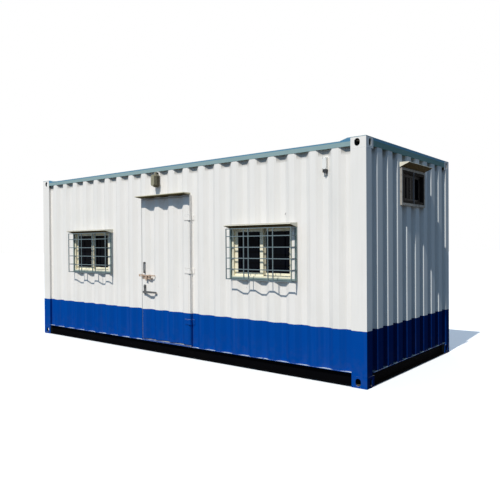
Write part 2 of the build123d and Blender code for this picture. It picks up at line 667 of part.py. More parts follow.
def door_canopy():
    """Shallow canopy over the door, closed underneath and fitted to the ribs."""
    x0 = DOOR_SHIFT + CANOPY_SHIFT - CANOPY_WIDTH / 2
    hood = folded_hood(CANOPY_REACH, CANOPY_BACK, 0, CANOPY_LIP, CANOPY_WIDTH, SIDE_DEPTH)
    top = CANOPY_BOTTOM + CANOPY_BACK
    return (Pos(x0, CREST_Y, CANOPY_BOTTOM) * hood
            - behind_front_wall(x0, x0 + CANOPY_WIDTH, CANOPY_BOTTOM, top))


def pull_handle():
    """Pull folded from flat strap, its two feet turned towards each other."""
    x0, x1 = PULL_X - PULL_STRAP / 2, PULL_X + PULL_STRAP / 2
    t = PULL_STEEL
    back, front = CREST_Y, CREST_Y - PULL_REACH
    z0, z1 = PULL_BOTTOM, PULL_BOTTOM + PULL_LENGTH
    outer = [(back, z0), (front, z0), (front, z1), (back, z1), (back, z1 - PULL_FOOT),
             (back - t, z1 - PULL_FOOT), (back - t, z0 + PULL_FOOT), (back, z0 + PULL_FOOT)]
    strap = prism([(x0, y, z) for y, z in outer], (x1 - x0, 0, 0))
    corners = [e for e in strap.edges().filter_by(Axis.X) if abs(e.center().Y - front) < t / 2]
    strap = fillet(corners, PULL_BEND)
    grip = block(x0 - 1, x1 + 1, front + t, back - t, z0 + t, z1 - t)
    inner = [e for e in grip.edges().filter_by(Axis.X) if e.center().Y < back - 2 * t]
    return strap - fillet(inner, PULL_BEND - t)


def staple_over_bolt(x0, x1, clearance, back):
    """Staple over the slide bolt, square inside, its legs running back to a depth."""
    reach = BOLT_RADIUS + clearance
    wall = reach + GUIDE_STEEL
    staple = block(x0, x1, BOLT_Y - wall, back, BOLT_Z - wall, BOLT_Z + wall)
    return staple - block(x0 - 1, x1 + 1, BOLT_Y - reach, back + 1, BOLT_Z - reach,
                          BOLT_Z + reach)


def bolt_guides():
    """Plate on the leaf with two staples for the slide bolt."""
    length, height, thick = BOLT_PLATE
    x0 = LEAF_X0 + JAMB_STEEL
    middle = BOLT_Z - BOLT_PLATE_DROP
    guides = block(x0, x0 + length, CREST_Y - thick, CREST_Y, middle - height / 2,
                   middle + height / 2)
    for x in (x0, x0 + length - GUIDE_WIDTH):
        guides += staple_over_bolt(x, x + GUIDE_WIDTH, BOLT_CLEARANCE, CREST_Y)
    return guides


def slide_bolt():
    """Round bolt, drawn back, with a flat thumb tab hanging from it."""
    x0 = LEAF_X0 + BOLT_SETBACK
    bar = rod((x0, BOLT_Y, BOLT_Z), (x0 + BOLT_LENGTH, BOLT_Y, BOLT_Z), BOLT_RADIUS)
    tab_x = LEAF_X0 + JAMB_STEEL + GUIDE_WIDTH + BOLT_TRAVEL + TAB_CLEARANCE
    tab = block(tab_x, tab_x + TAB_WIDTH, BOLT_Y - TAB_STEEL / 2, BOLT_Y + TAB_STEEL / 2,
                BOLT_Z - TAB_DROP, BOLT_Z)
    lower = tab.edges().filter_by(Axis.Y).group_by(Axis.Z)[0]
    return bar + fillet(lower, TAB_WIDTH / 4)


def bolt_keeper():
    """Staple on the wall that the bolt shoots into, its legs fitted to the rib."""
    x0 = KEEPER_X1 - KEEPER_GRIP
    staple = staple_over_bolt(x0, KEEPER_X1, KEEPER_CLEARANCE, CREST_Y + SIDE_DEPTH)
    jamb = block(DOOR_X0, DOOR_X0 + JAMB_STEEL, CREST_Y, 0, 0, DOOR_TOP)
    return staple - behind_front_wall(x0, KEEPER_X1, 0, DOOR_TOP) - jamb


def lever_plate():
    """Back plate of the lever handle, with its spindle and a lock cylinder above."""
    width, height, thick = LEVER_PLATE
    middle = LEVER_PIVOT_Z + LEVER_PLATE_RISE
    x0, x1 = LEVER_PIVOT_X - width / 2, LEVER_PIVOT_X + width / 2
    plate = block(x0, x1, CREST_Y - thick, CREST_Y, middle - height / 2, middle + height / 2)
    plate = chamfer(plate.edges().filter_by(Axis.Y), width / 5)
    spindle = rod((LEVER_PIVOT_X, CREST_Y - thick, LEVER_PIVOT_Z),
                  (LEVER_PIVOT_X, CREST_Y - LEVER_REACH, LEVER_PIVOT_Z), SPINDLE_RADIUS)
    lock_z = middle + height / 4
    lock = rod((LEVER_PIVOT_X, CREST_Y - thick, lock_z),
               (LEVER_PIVOT_X, CREST_Y - thick - LOCK_REACH, lock_z), LOCK_RADIUS)
    return plate + spindle + lock


def lever_handle():
    """Tapered lever with a round hub, turning on its spindle."""
    y_back = CREST_Y - LEVER_PLATE[2] - HINGE_CLEARANCE
    y_front = CREST_Y - LEVER_REACH - SPINDLE_RADIUS
    hub = rod((LEVER_PIVOT_X, y_back, LEVER_PIVOT_Z), (LEVER_PIVOT_X, y_front, LEVER_PIVOT_Z),
              LEVER_HUB_RADIUS)
    tip_x = LEVER_PIVOT_X + LEVER_LENGTH - LEVER_TIP_RADIUS
    tip = rod((tip_x, y_front + LEVER_THICKNESS, LEVER_PIVOT_Z), (tip_x, y_front, LEVER_PIVOT_Z),
              LEVER_TIP_RADIUS)
    r0, r1 = LEVER_HUB_RADIUS - 1, LEVER_TIP_RADIUS
    outline = [(LEVER_PIVOT_X, r0), (tip_x, r1), (tip_x, -r1), (LEVER_PIVOT_X, -r0)]
    arm = prism([(x, y_front, LEVER_PIVOT_Z + h) for x, h in outline], (0, LEVER_THICKNESS, 0))
    lever = hub + tip + arm
    bore = rod((LEVER_PIVOT_X, y_back + 1, LEVER_PIVOT_Z),
               (LEVER_PIVOT_X, CREST_Y - LEVER_REACH - 1, LEVER_PIVOT_Z),
               SPINDLE_RADIUS + PIN_CLEARANCE)
    return lever - bore


# ---- windows ------------------------------------------------------------------------------
def window_frame(centre):
    """Outer frame of a sliding window, the depth of the wall, with a track for each sash."""
    half = WINDOW_WIDTH / 2
    face = WINDOW_FRAME_FACE
    front = CREST_Y + WINDOW_FRAME_FRONT
    frame = ring(centre - half, centre + half, WINDOW_SILL, WINDOW_TOP, face, front,
                 LINING_INNER_Y)
    for _, _, y in sash_places(centre):
        frame -= block(centre - half + face, centre + half - face, y, y + SASH_DEPTH,
                       WINDOW_SILL + face - TRACK_DEPTH, WINDOW_TOP - face + TRACK_DEPTH)
    return frame


def sash_places(centre):
    """Limits in X and front face in Y of the outer (left) and inner (right) sash."""
    half = WINDOW_WIDTH / 2 - WINDOW_FRAME_FACE
    return [
        (centre - half, centre + SASH_LAP / 2, SASH_FRONT),
        (centre - SASH_LAP / 2, centre + half, SASH_FRONT + SASH_DEPTH + SASH_GAP),
    ]


def build_windows():
    """Side windows, their grilles and hoods, and the end window."""
    frames, sashes, panes, grilles, hoods = [], [], [], [], []
    z0 = WINDOW_SILL + WINDOW_FRAME_FACE - TRACK_DEPTH
    z1 = WINDOW_TOP - WINDOW_FRAME_FACE + TRACK_DEPTH - TRACK_CLEARANCE
    edge = SASH_FACE - GLASS_REBATE
    for centre in WINDOW_CENTRES:
        frames.append(window_frame(centre))
        for x0, x1, y in sash_places(centre):
            mid = y + SASH_DEPTH / 2
            sash = ring(x0, x1, z0, z1, SASH_FACE, y, y + SASH_DEPTH)
            pane = block(x0 + edge, x1 - edge, mid - GLASS / 2, mid + GLASS / 2, z0 + edge,
                         z1 - edge)
            sashes.append(sash - pane)
            panes.append(pane)
        grilles.append(grille(centre))
        hoods.append(window_hood(centre))
    save("window_frames", frames)
    save("window_sashes", sashes)
    save("window_panes", panes)
    save("window_grilles", grilles)
    save("window_hoods", hoods)
    build_end_window()


def grille(window_centre):
    """Projecting cage of square bar on a shallow back frame with flat bar at two sides."""
    centre = window_centre + GRILLE_SHIFT
    half = GRILLE_WIDTH / 2
    x0, x1 = centre - half, centre + half
    z0, z1 = GRILLE_BOTTOM, GRILLE_TOP
    bar = GRILLE_BAR
    back = CREST_Y - GRILLE_FLANGE
    front = CREST_Y - GRILLE_REACH
    cage = ring(x0, x1, z0, z1, GRILLE_FLANGE_STEEL, back, CREST_Y)
    flat = CREST_Y - GRILLE_FLAT_STEEL
    cage += block(x0, x1, flat, CREST_Y, z0, z0 + GRILLE_FLAT)
    cage += block(x1 - GRILLE_FLAT, x1, flat, CREST_Y, z0, z1)
    cage += ring(x0, x1, z0, z1, bar, front, front + bar)
    heights = [z0 + GRILLE_FIRST_ROW + row * GRILLE_ROW_PITCH for row in range(GRILLE_ROWS)]
    for z in heights:
        cage += block(x0, x1, front, front + bar, z - bar / 2, z + bar / 2)
    for z in [z0 + bar / 2] + heights + [z1 - bar / 2]:
        for x in (x0, x1 - bar):
            cage += block(x, x + bar, front, back + bar, z - bar / 2, z + bar / 2)
    middle = centre + GRILLE_PAIR_SHIFT
    for pair in (-1, 1):
        for side in (-1, 1):
            x = middle + pair * GRILLE_PAIR_OFFSET + side * GRILLE_PAIR_SPACING / 2
            cage += block(x - bar / 2, x + bar / 2, front, front + bar, z0, z1)
    return cage


def folded_hood(reach, back, fall, lip, width, scribe):
    """Rain hood folded from sheet: sloping top, front lip, two cheeks and a rising soffit.

    It starts at x = 0 and runs towards +X; its depth runs to -Y, its foot on the wall is
    z = 0, and it carries on behind the wall's crests by the scribe, to be cut to the ribs.
    """
    t = HOOD_STEEL
    low = back - fall - lip
    outline = [(scribe, 0), (0, 0), (-reach, low), (-reach, back - fall), (0, back),
               (scribe, back)]
    inside = [(scribe + 1, t), (0, t), (t - reach, low + t), (t - reach, back - fall - t),
              (0, back - t), (scribe + 1, back - t)]
    hood = prism([(0, y, z) for y, z in outline], (width, 0, 0))
    return hood - prism([(t, y, z) for y, z in inside], (width - 2 * t, 0, 0))


def window_hood(centre):
    """Rain hood over a side window, its back cut to the ribs and the window frame."""
    width = GRILLE_WIDTH + HOOD_PAST
    x0 = centre + GRILLE_SHIFT + GRILLE_WIDTH / 2 - width
    sheet = folded_hood(HOOD_REACH, HOOD_BACK, HOOD_FALL, HOOD_LIP, width, SIDE_DEPTH)
    hood = Pos(x0, CREST_Y, GRILLE_TOP) * sheet
    hood -= behind_front_wall(x0, x0 + width, GRILLE_TOP, GRILLE_TOP + HOOD_BACK)
    half = WINDOW_WIDTH / 2
    return hood - block(centre - half, centre + half, CREST_Y, 0, 0, WINDOW_TOP)


def build_end_window():
    """Small fixed window high in the right-hand end wall."""
    half = END_WINDOW_WIDTH / 2
    y0, y1 = END_WINDOW_Y - half, END_WINDOW_Y + half
    z0, z1 = END_WINDOW_SILL, END_WINDOW_TOP
    face, liner = END_FRAME_FACE, END_LINER
    proud = CREST_X + END_FRAME_PROUD
    frame = end_ring(y0 - face, y1 + face, z0 - face, z1 + face, face + liner, CREST_X, proud)
    frame += end_ring(y0, y1, z0, z1, liner, LINING_INNER_X, CREST_X + 1)
    bar = END_GUARD_BAR
    frame += block(proud - bar, proud, END_WINDOW_Y - bar / 2, END_WINDOW_Y + bar / 2, z0, z1)
    save("end_window_frame", frame)
    glass_x = CREST_X - END_GLASS_DEPTH
    front, rear = glass_x + SASH_DEPTH / 2, glass_x - SASH_DEPTH / 2
    stile = END_SASH_FACE
    sash = end_ring(y0 + liner, y1 - liner, z0 + liner, z1 - liner, stile, rear, front)
    sash += block(rear, front, END_WINDOW_Y - stile / 2, END_WINDOW_Y + stile / 2, z0 + liner,
                  z1 - liner)
    edge = liner + stile - GLASS_REBATE
    middle = stile / 2 - GLASS_REBATE
    panes = []
    for a, b in ((y0 + edge, END_WINDOW_Y - middle), (END_WINDOW_Y + middle, y1 - edge)):
        pane = block(glass_x - GLASS / 2, glass_x + GLASS / 2, a, b, z0 + edge, z1 - edge)
        sash -= pane
        panes.append(pane)
    save("end_window_sash", sash)
    save("end_window_panes", panes)
    width = END_WINDOW_WIDTH + 2 * face + 2 * END_HOOD_OVERHANG
    sheet = folded_hood(END_HOOD_REACH, END_HOOD_BACK, END_HOOD_FALL, END_HOOD_LIP, width,
                        END_DEPTH)
    start, foot = END_WINDOW_Y - width / 2, z1 + face
    hood = Pos(CREST_X, start, foot) * Rot(0, 0, 90) * sheet
    save("end_window_hood", hood - behind_end_wall(start, start + width, foot, RAIL_BOTTOM))


# ---- electrical fittings --------------------------------------------------------------
def octagon(width, height, chamfer_size, y, z_mid):
    """Upright rectangle with cut corners, as a face at depth y."""
    plane = Plane((LAMP_X, y, z_mid), x_dir=(1, 0, 0), z_dir=(0, -1, 0))
    return plane * chamfer(Rectangle(width, height).vertices(), chamfer_size)


def wall_lamp():
    """Deep cast housing with cut corners and its cable neck on top."""
    mid = LAMP_TOP - LAMP_HEIGHT / 2
    body = extrude(octagon(LAMP_WIDTH, LAMP_HEIGHT, LAMP_CHAMFER, CREST_Y, mid), LAMP_BODY)
    return body + block(LAMP_X - NECK_WIDTH / 2, LAMP_X + NECK_WIDTH / 2, CREST_Y - NECK_DEPTH,
                        CREST_Y, LAMP_TOP - 1, LAMP_TOP + NECK_HEIGHT)


def lamp_lens():
    """Pressed glass cover on the front of the housing."""
    mid = LAMP_TOP - LAMP_HEIGHT / 2
    wide = (LAMP_WIDTH - 2 * LAMP_RIM, LAMP_HEIGHT - 2 * LAMP_RIM, LAMP_CHAMFER - LAMP_RIM / 2)
    slim = tuple(size - 2 * LENS_TAPER for size in wide[:2]) + (wide[2] - LENS_TAPER / 2,)
    back, front = CREST_Y - LAMP_BODY, CREST_Y - LAMP_DEPTH
    return loft([octagon(*wide, back, mid), octagon(*slim, front, mid)], ruled=True)


def junction_box():
    """Cable box on the floor of a rib: stepped lid, socket underneath and a gland."""
    width, depth, height = BOX_SIZE
    x0, x1 = BOX_X - width / 2, BOX_X + width / 2
    back = CREST_Y + SIDE_DEPTH
    front = back - depth
    bottom = BOX_TOP - height
    body = block(x0, x1, front + BOX_LID, back, bottom, BOX_TOP)
    step = BOX_LID_STEP
    body += block(x0 + step, x1 - step, front, front + BOX_LID, bottom + step, BOX_TOP - step)
    body += block(x0 + SOCKET_INSET, x1 - SOCKET_INSET, back - SOCKET_DEPTH, back,
                  bottom - SOCKET_HEIGHT, bottom + 1)
    y = back - SOCKET_DEPTH / 2
    low = bottom - SOCKET_HEIGHT
    return body + rod((BOX_X, y, low + 1), (BOX_X, y, low - GLAND_LENGTH), GLAND_RADIUS)


def rib_packings():
    """Packing in the rib behind the lamp's edge."""
    half = LAMP_WIDTH / 2
    x0, x1, z0 = LAMP_X - half, LAMP_X + half, LAMP_TOP - LAMP_HEIGHT
    filled = block(x0, x1, CREST_Y, CREST_Y + SIDE_DEPTH, z0 + LAMP_CHAMFER,
                   LAMP_TOP - LAMP_CHAMFER)
    return filled - behind_front_wall(x0, x1, z0, LAMP_TOP)


def build_fittings():
    """Lamp over the door and cable box near the corner."""
    save("wall_lamp", wall_lamp())
    save("lamp_lens", lamp_lens())
    save("junction_box", junction_box())
    save("rib_packings", rib_packings())


os.makedirs("parts", exist_ok=True)
build_frame()
build_walls()
build_door()
build_windows()
build_fittings()
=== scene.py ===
import math

import bpy
from mathutils import Matrix, Vector


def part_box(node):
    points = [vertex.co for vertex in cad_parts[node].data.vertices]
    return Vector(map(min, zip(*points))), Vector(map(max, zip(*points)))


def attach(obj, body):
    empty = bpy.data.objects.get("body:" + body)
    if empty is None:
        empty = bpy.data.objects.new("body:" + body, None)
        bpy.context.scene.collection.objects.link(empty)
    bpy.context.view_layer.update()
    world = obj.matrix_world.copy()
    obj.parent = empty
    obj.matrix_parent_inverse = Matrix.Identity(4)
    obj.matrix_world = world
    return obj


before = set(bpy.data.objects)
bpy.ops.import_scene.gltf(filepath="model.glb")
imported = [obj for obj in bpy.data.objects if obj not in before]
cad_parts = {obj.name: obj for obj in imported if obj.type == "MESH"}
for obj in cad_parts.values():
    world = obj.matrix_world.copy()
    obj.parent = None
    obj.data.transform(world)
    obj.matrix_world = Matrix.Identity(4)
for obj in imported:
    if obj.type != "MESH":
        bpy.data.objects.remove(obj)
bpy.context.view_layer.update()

MM = 0.001

# ---- places and sizes, in metres -----------------------------------------------------------
WALL_LOW, WALL_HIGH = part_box("front_wall_right")
CREST_Y = WALL_LOW.y                      # outer face of the side wall's ribs
CREST_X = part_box("right_end_wall")[1].x   # outer face of the end wall's ribs
SIDE_RIBS = (281 * MM, 70 * MM, 68 * MM, 36 * MM)    # pitch, trough, slope and depth
END_RIBS = (257 * MM, 104 * MM, 18 * MM, 46 * MM)
RAIL_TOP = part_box("top_side_rails")[1].z
OVERALL_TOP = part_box("top_corner_castings")[1].z
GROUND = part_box("bottom_corner_castings")[0].z
BAND_TOP = 592 * MM                       # blue below, white above
BOX_HEIGHT = 128 * MM                     # junction box, without the socket under it
SOCKET_HEIGHT = 32 * MM
OUT_FRONT, OUT_RIGHT, UP = (0, -1, 0), (1, 0, 0), (0, 0, 1)

# camera, fitted to the standard length, width and height of the cabin
CAMERA_PLACE = (5.566, -6.254, 1.489)
CAMERA_YAW, CAMERA_PITCH, CAMERA_ROLL = 38.857, -0.588, -0.395
CAMERA_LENS, CAMERA_SENSOR = 39.11, 36.0


def solid_boxes(node):
    """Lowest and highest corner of each separate solid of a CAD node, in order of X."""
    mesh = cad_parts[node].data
    keys = [tuple(round(c, 5) for c in vertex.co) for vertex in mesh.vertices]
    parent = {key: key for key in keys}

    def root(key):
        while parent[key] != key:
            parent[key] = parent[parent[key]]
            key = parent[key]
        return key

    for face in mesh.polygons:
        first, *others = [keys[number] for number in face.vertices]
        for other in others:
            parent[root(other)] = root(first)
    groups = {}
    for key in parent:
        groups.setdefault(root(key), []).append(key)
    boxes = [(Vector(map(min, zip(*points))), Vector(map(max, zip(*points)))) for points in groups.values()]
    return sorted(boxes, key=lambda box: tuple(box[0]))


# ---- colour and node helpers ---------------------------------------------------------------
def srgb(code):
    """Linear RGBA of an sRGB hex colour."""
    channels = [int(code[i:i + 2], 16) / 255 for i in (1, 3, 5)]
    linear = [c / 12.92 if c <= 0.04045 else ((c + 0.055) / 1.055) ** 2.4 for c in channels]
    return (*linear, 1.0)


def add(tree, kind, inputs=(), **settings):
    """Adds one node; inputs are its sockets by name or number, settings its properties."""
    node = tree.nodes.new(kind)
    for key, value in settings.items():
        setattr(node, key, value)
    for key, value in dict(inputs).items():
        if isinstance(value, bpy.types.NodeSocket):
            tree.links.new(value, node.inputs[key])
        else:
            node.inputs[key].default_value = value
    return node


def product(tree, *factors):
    """Several factors multiplied."""
    result = factors[0]
    for factor in factors[1:]:
        result = add(tree, "ShaderNodeMath", {0: result, 1: factor}, operation="MULTIPLY").outputs[0]
    return result


def patches(tree, width, low, high, stretch=(1, 1, 1), detail=4.0, seed=0.0):
    """Soft-edged random patches, 0 to 1; width is their rough size in millimetres."""
    place = add(tree, "ShaderNodeTexCoord").outputs["Object"]
    mapped = add(tree, "ShaderNodeMapping", {0: place, "Location": (seed, seed * 0.7, seed * 0.3),
                                             "Scale": [share / (width * MM) for share in stretch]})
    noise = add(tree, "ShaderNodeTexNoise", {"Vector": mapped.outputs[0], "Scale": 1.0, "Detail": detail})
    ramp = add(tree, "ShaderNodeMapRange", {"Value": noise.outputs[0], "From Min": low, "From Max": high})
    return ramp.outputs[0]


def along(tree, axis, kind="Object"):
    """A point's place along an axis of the object or, with "Normal", how far its face looks that way."""
    point = add(tree, "ShaderNodeTexCoord").outputs[kind]
    return add(tree, "ShaderNodeSeparateXYZ", {0: point}).outputs[axis]


def height_mask(tree, z_from, z_to, waver=0.0):
    """Factor that runs from 0 at one height to 1 at the other, its edge a little uneven."""
    z = along(tree, "Z")
    if waver:
        drift = patches(tree, 120, 0.3, 0.7, detail=2.0, seed=3.1)
        z = add(tree, "ShaderNodeMath", {0: drift, 1: waver, 2: z}, operation="MULTIPLY_ADD").outputs[0]
    return add(tree, "ShaderNodeMapRange", {"Value": z, "From Min": z_from, "From Max": z_to}).outputs[0]


def facing(tree, axis, low, high):
    """Factor of how far a face looks along one axis of the object, such as up."""
    part = along(tree, axis, "Normal")
    return add(tree, "ShaderNodeMapRange", {"Value": part, "From Min": low, "From Max": high}).outputs[0]


def strip(tree, axis, middle, half):
    """Factor of 1 within a distance of a place along an axis, 0 beyond."""
    place, edge = along(tree, axis), 1 * MM
    offset = add(tree, "ShaderNodeMath", {0: place, 1: middle}, operation="SUBTRACT").outputs[0]
    away = add(tree, "ShaderNodeMath", {0: offset}, operation="ABSOLUTE").outputs[0]
    inside = add(tree, "ShaderNodeMapRange", {"Value": away, "From Min": half, "From Max": half - edge})
    return inside.outputs[0]


def beyond(tree, axis, half):
    """Factor of 1 further than a distance from the middle of the object, 0 within it."""
    inside = strip(tree, axis, 0.0, half)
    return add(tree, "ShaderNodeMath", {0: 1.0, 1: inside}, operation="SUBTRACT").outputs[0]


def shaded_ends(tree):
    """Factor of 1 on what belongs to the two end walls, 0 on the long sides; it lays painted shade on the
    ends.
    """
    sideways = add(tree, "ShaderNodeMath", {0: along(tree, "Y", "Normal")}, operation="ABSOLUTE").outputs[0]
    turned = add(tree, "ShaderNodeMapRange", {"Value": sideways, "From Min": 0.99, "From Max": 0.95})
    end_sheet = 52 * MM    # from the ribs' outer faces to just behind their troughs
    return product(tree, beyond(tree, "X", CREST_X - end_sheet), turned.outputs[0])


class Finish:
    """A material built coat on coat: colour, roughness and relief, then one shader."""

    def __init__(self, name, colour, roughness):
        self.material = bpy.data.materials.new(name)
        self.material.use_nodes = True
        self.tree = self.material.node_tree
        self.shader = self.tree.nodes["Principled BSDF"]
        self.colour = srgb(colour)
        self.roughness = roughness
        self.relief = None

    def layer(self, factor, colour, roughness=None):
        """Covers the surface with a colour where the factor is 1."""
        inputs = {0: factor, 6: self.colour, 7: srgb(colour)}
        self.colour = add(self.tree, "ShaderNodeMix", inputs, data_type="RGBA").outputs[2]
        if roughness is not None:
            blend = add(self.tree, "ShaderNodeMix", {0: factor, 2: self.roughness, 3: roughness})
            self.roughness = blend.outputs[0]

    def mottle(self, colour, strength, width, low, high, roughness=None, within=None, **pattern):
        """Covers the surface with random patches of a colour, inside a factor if one is given."""
        factors = [patches(self.tree, width, low, high, **pattern), strength]
        if within is not None:
            factors.insert(0, within)
        self.layer(product(self.tree, *factors), colour, roughness)

    def bump(self, height, distance, strength):
        """Adds relief; distance is its real depth in metres."""
        values = {"Height": height, "Distance": distance, "Strength": strength}
        if self.relief is not None:
            values["Normal"] = self.relief
        self.relief = add(self.tree, "ShaderNodeBump", values).outputs[0]

    def grain(self, depth, strength, width, low, high, **pattern):
        """Adds random relief of a depth and a rough width, both in millimetres. Brush marks and
        coating grain, really under 1 mm wide, are drawn 2 to 4 mm wide so that they show."""
        self.bump(patches(self.tree, width, low, high, **pattern), depth * MM, strength)

    def done(self, **shader):
        """Connects the coats; shader gives constants for the shader's own sockets."""
        made = {"Base Color": self.colour, "Roughness": self.roughness, "Normal": self.relief}
        for name, value in made.items():
            if isinstance(value, bpy.types.NodeSocket):
                self.tree.links.new(value, self.shader.inputs[name])
            elif value is not None:
                self.shader.inputs[name].default_value = value
        for name, value in shader.items():
            self.shader.inputs[name.replace("_", " ")].default_value = value
        return self.material


# ---- finishes ------------------------------------------------------------------------------
RUST = "#6B3A20"
DUST = "#B7B3A6"
MUD = "#655B4B"
GRIME = "#8A867B"
SOOTY_TOP = "#7B776C"
DOWNWARDS, UPWARDS = ("Z", -0.35, -0.6), ("Z", 0.6, 0.95)


def weather(finish, streak, rust, splash, dust):
    """Rain streaks, ground splash, rust spots and settled dust on outdoor paint."""
    tree = finish.tree
    finish.mottle(GRIME, streak, 45, 0.52, 0.78, 0.6, stretch=(1, 1, 0.035), detail=3.0, seed=5.0)
    splashed = height_mask(tree, 420 * MM, 100 * MM)
    finish.mottle(MUD, splash, 70, 0.42, 0.66, 0.85, within=splashed, detail=6.0, seed=9.0)
    spread = rust * 0.06    # more of the noise counts as rust
    spots = patches(tree, 22, 0.76 - spread, 0.79 - spread, detail=8.0, seed=1.7)
    finish.layer(product(tree, spots, patches(tree, 500, 0.50, 0.66, detail=2.0, seed=4.0)), RUST, 0.9)
    finish.layer(product(tree, facing(tree, *UPWARDS), dust), DUST, 0.9)


def blue_band(finish, ends):
    """Blue second coat along the foot of the walls: chalky and scuffed, with painted shade darkening it on
    the ends.
    """
    tree = finish.tree
    band = height_mask(tree, BAND_TOP + 1.5 * MM, BAND_TOP - 1.5 * MM, waver=4 * MM)
    finish.layer(band, "#034395", 0.6)
    finish.mottle("#0F55A6", 0.14, 300, 0.45, 0.75, within=band, stretch=(1, 1, 0.3), seed=11.0)
    # Painted shade: the band darker on the end walls.
    finish.layer(product(tree, band, ends), "#041F55")
    finish.mottle("#10306A", 0.6, 20, 0.66, 0.72, within=band, stretch=(1, 1, 2.5), detail=7.0, seed=13.0)


def head_shade_and_soot(finish):
    """Troughs under the top rails darkened: painted shade, and soot where the rain never washes."""
    tree = finish.tree
    head = product(tree, height_mask(tree, WALL_HIGH.z - 70 * MM, WALL_HIGH.z - 30 * MM, waver=20 * MM),
                   strip(tree, "Y", 0.0, -CREST_Y - 12 * MM), strip(tree, "X", 0.0, CREST_X - 20 * MM))
    # Painted shade with some soot: darker in the troughs just under the rail.
    finish.layer(product(tree, head, 0.5), "#6B675C", 0.8)


def shade_inside_castings(finish):
    """The hollow of each corner casting, darkened as painted shade."""
    tree, skin = finish.tree, 7 * MM
    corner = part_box("top_corner_castings")[1]
    inside = product(tree, strip(tree, "X", 0.0, corner.x - skin), strip(tree, "Y", 0.0, corner.y - skin),
                     height_mask(tree, corner.z, corner.z - skin))
    # Painted shade inside the casting's hollow.
    finish.layer(inside, "#4A463F", 0.9)


def wall_enamel(name="wall_enamel_sprayed", hollow=False):
    """Sprayed alkyd enamel on pressed steel sheet, chalked dead matt by the sun: white with
    orange peel, a blue band along the foot, rain streaks, splashes and a few rust freckles."""
    finish = Finish(name, "#EAE5DF", 0.7)
    tree = finish.tree
    finish.mottle("#DCDAD3", 0.30, 700, 0.35, 0.7, seed=2.0)
    finish.mottle("#D2D0CA", 0.2, 160, 0.5, 0.8, stretch=(1, 1, 0.25), seed=7.0)
    finish.mottle(GRIME, 0.07, 45, 0.52, 0.78, stretch=(1, 1, 0.035), detail=3.0, seed=21.0)
    ends = shaded_ends(tree)
    # Painted shade: the white of the end walls greyed and blued, as they lie in shade.
    finish.layer(product(tree, ends, 0.6), "#AEBBC4")
    blue_band(finish, ends)
    casting_tops = height_mask(tree, OVERALL_TOP - 8 * MM, OVERALL_TOP - 5 * MM)
    finish.layer(casting_tops, "#6F929C")
    head_shade_and_soot(finish)
    weather(finish, streak=0.025, rust=0.35, splash=0.08, dust=0.6)
    if hollow:
        shade_inside_castings(finish)
    finish.grain(3, 0.6, 350, 0.2, 0.8, detail=1.0, seed=17.0)
    finish.grain(0.15, 0.4, 6, 0.3, 0.7, detail=2.0)
    return finish.done(Specular_IOR_Level=0.0)


def frame_enamel():
    """Brush-painted teal alkyd enamel on rolled steel: chalky, with faint brush marks along
    the rail, a bluer strip along its top edge and rust at scratches."""
    finish = Finish("frame_enamel_brushed", "#8CA3A4", 0.65)
    tree = finish.tree
    finish.mottle("#7C9899", 0.4, 400, 0.4, 0.7, stretch=(0.3, 1, 1), seed=3.0)
    finish.mottle("#9BACAC", 0.3, 90, 0.5, 0.75, seed=8.0)
    weather(finish, streak=0.12, rust=0.8, splash=0.0, dust=0.35)
    edge = height_mask(tree, RAIL_TOP - 16 * MM, RAIL_TOP - 8 * MM)
    finish.layer(product(tree, edge, facing(tree, "Z", 0.5, 0.3), 0.9), "#4C80A0")
    finish.grain(0.2, 0.5, 4, 0.35, 0.65, stretch=(0.08, 1, 1), detail=3.0)
    return finish.done(Specular_IOR_Level=0.02)


def end_rail_enamel():
    """Teal enamel on the rails across the ends, brushed on thickly, in a deeper tone that is painted shade.
    """
    # Painted shade: a deeper teal than the sunlit side rails.
    finish = Finish("end_rail_enamel_painted_shade", "#5A7C7F", 0.6)
    finish.mottle("#4B6C70", 0.5, 300, 0.4, 0.7, stretch=(1, 0.3, 1), seed=3.0)
    weather(finish, streak=0.12, rust=0.8, splash=0.0, dust=0.35)
    finish.grain(0.2, 0.5, 4, 0.35, 0.65, stretch=(1, 0.08, 1), detail=3.0)
    return finish.done(Specular_IOR_Level=0.02)


def roof_enamel():
    """The same teal enamel on the pressed roof, dulled by standing water, soot and rust."""
    finish = Finish("roof_enamel_weathered", "#7F999C", 0.6)
    finish.mottle("#6B7B7A", 0.6, 350, 0.4, 0.65, 0.8, detail=6.0, seed=6.0)
    troughs = height_mask(finish.tree, RAIL_TOP - 8 * MM, RAIL_TOP - 16 * MM)
    finish.mottle("#5D5A50", 0.8, 120, 0.35, 0.6, 0.9, within=troughs, detail=5.0, seed=2.5)
    finish.mottle(RUST, 1.0, 60, 0.68, 0.74, 0.9, detail=8.0, seed=12.0)
    finish.grain(3, 0.5, 250, 0.2, 0.8, detail=1.0, seed=15.0)
    return finish.done(Specular_IOR_Level=0.1)


def underseal():
    """Brushed-on bitumen underseal: black, matt and lumpy, greyed by road dust."""
    finish = Finish("underseal_bitumen", "#060608", 0.9)
    finish.mottle("#1E1C19", 0.2, 150, 0.5, 0.8, detail=6.0)
    finish.grain(1, 0.6, 12, 0.3, 0.7)
    return finish.done(Specular_IOR_Level=0.03)


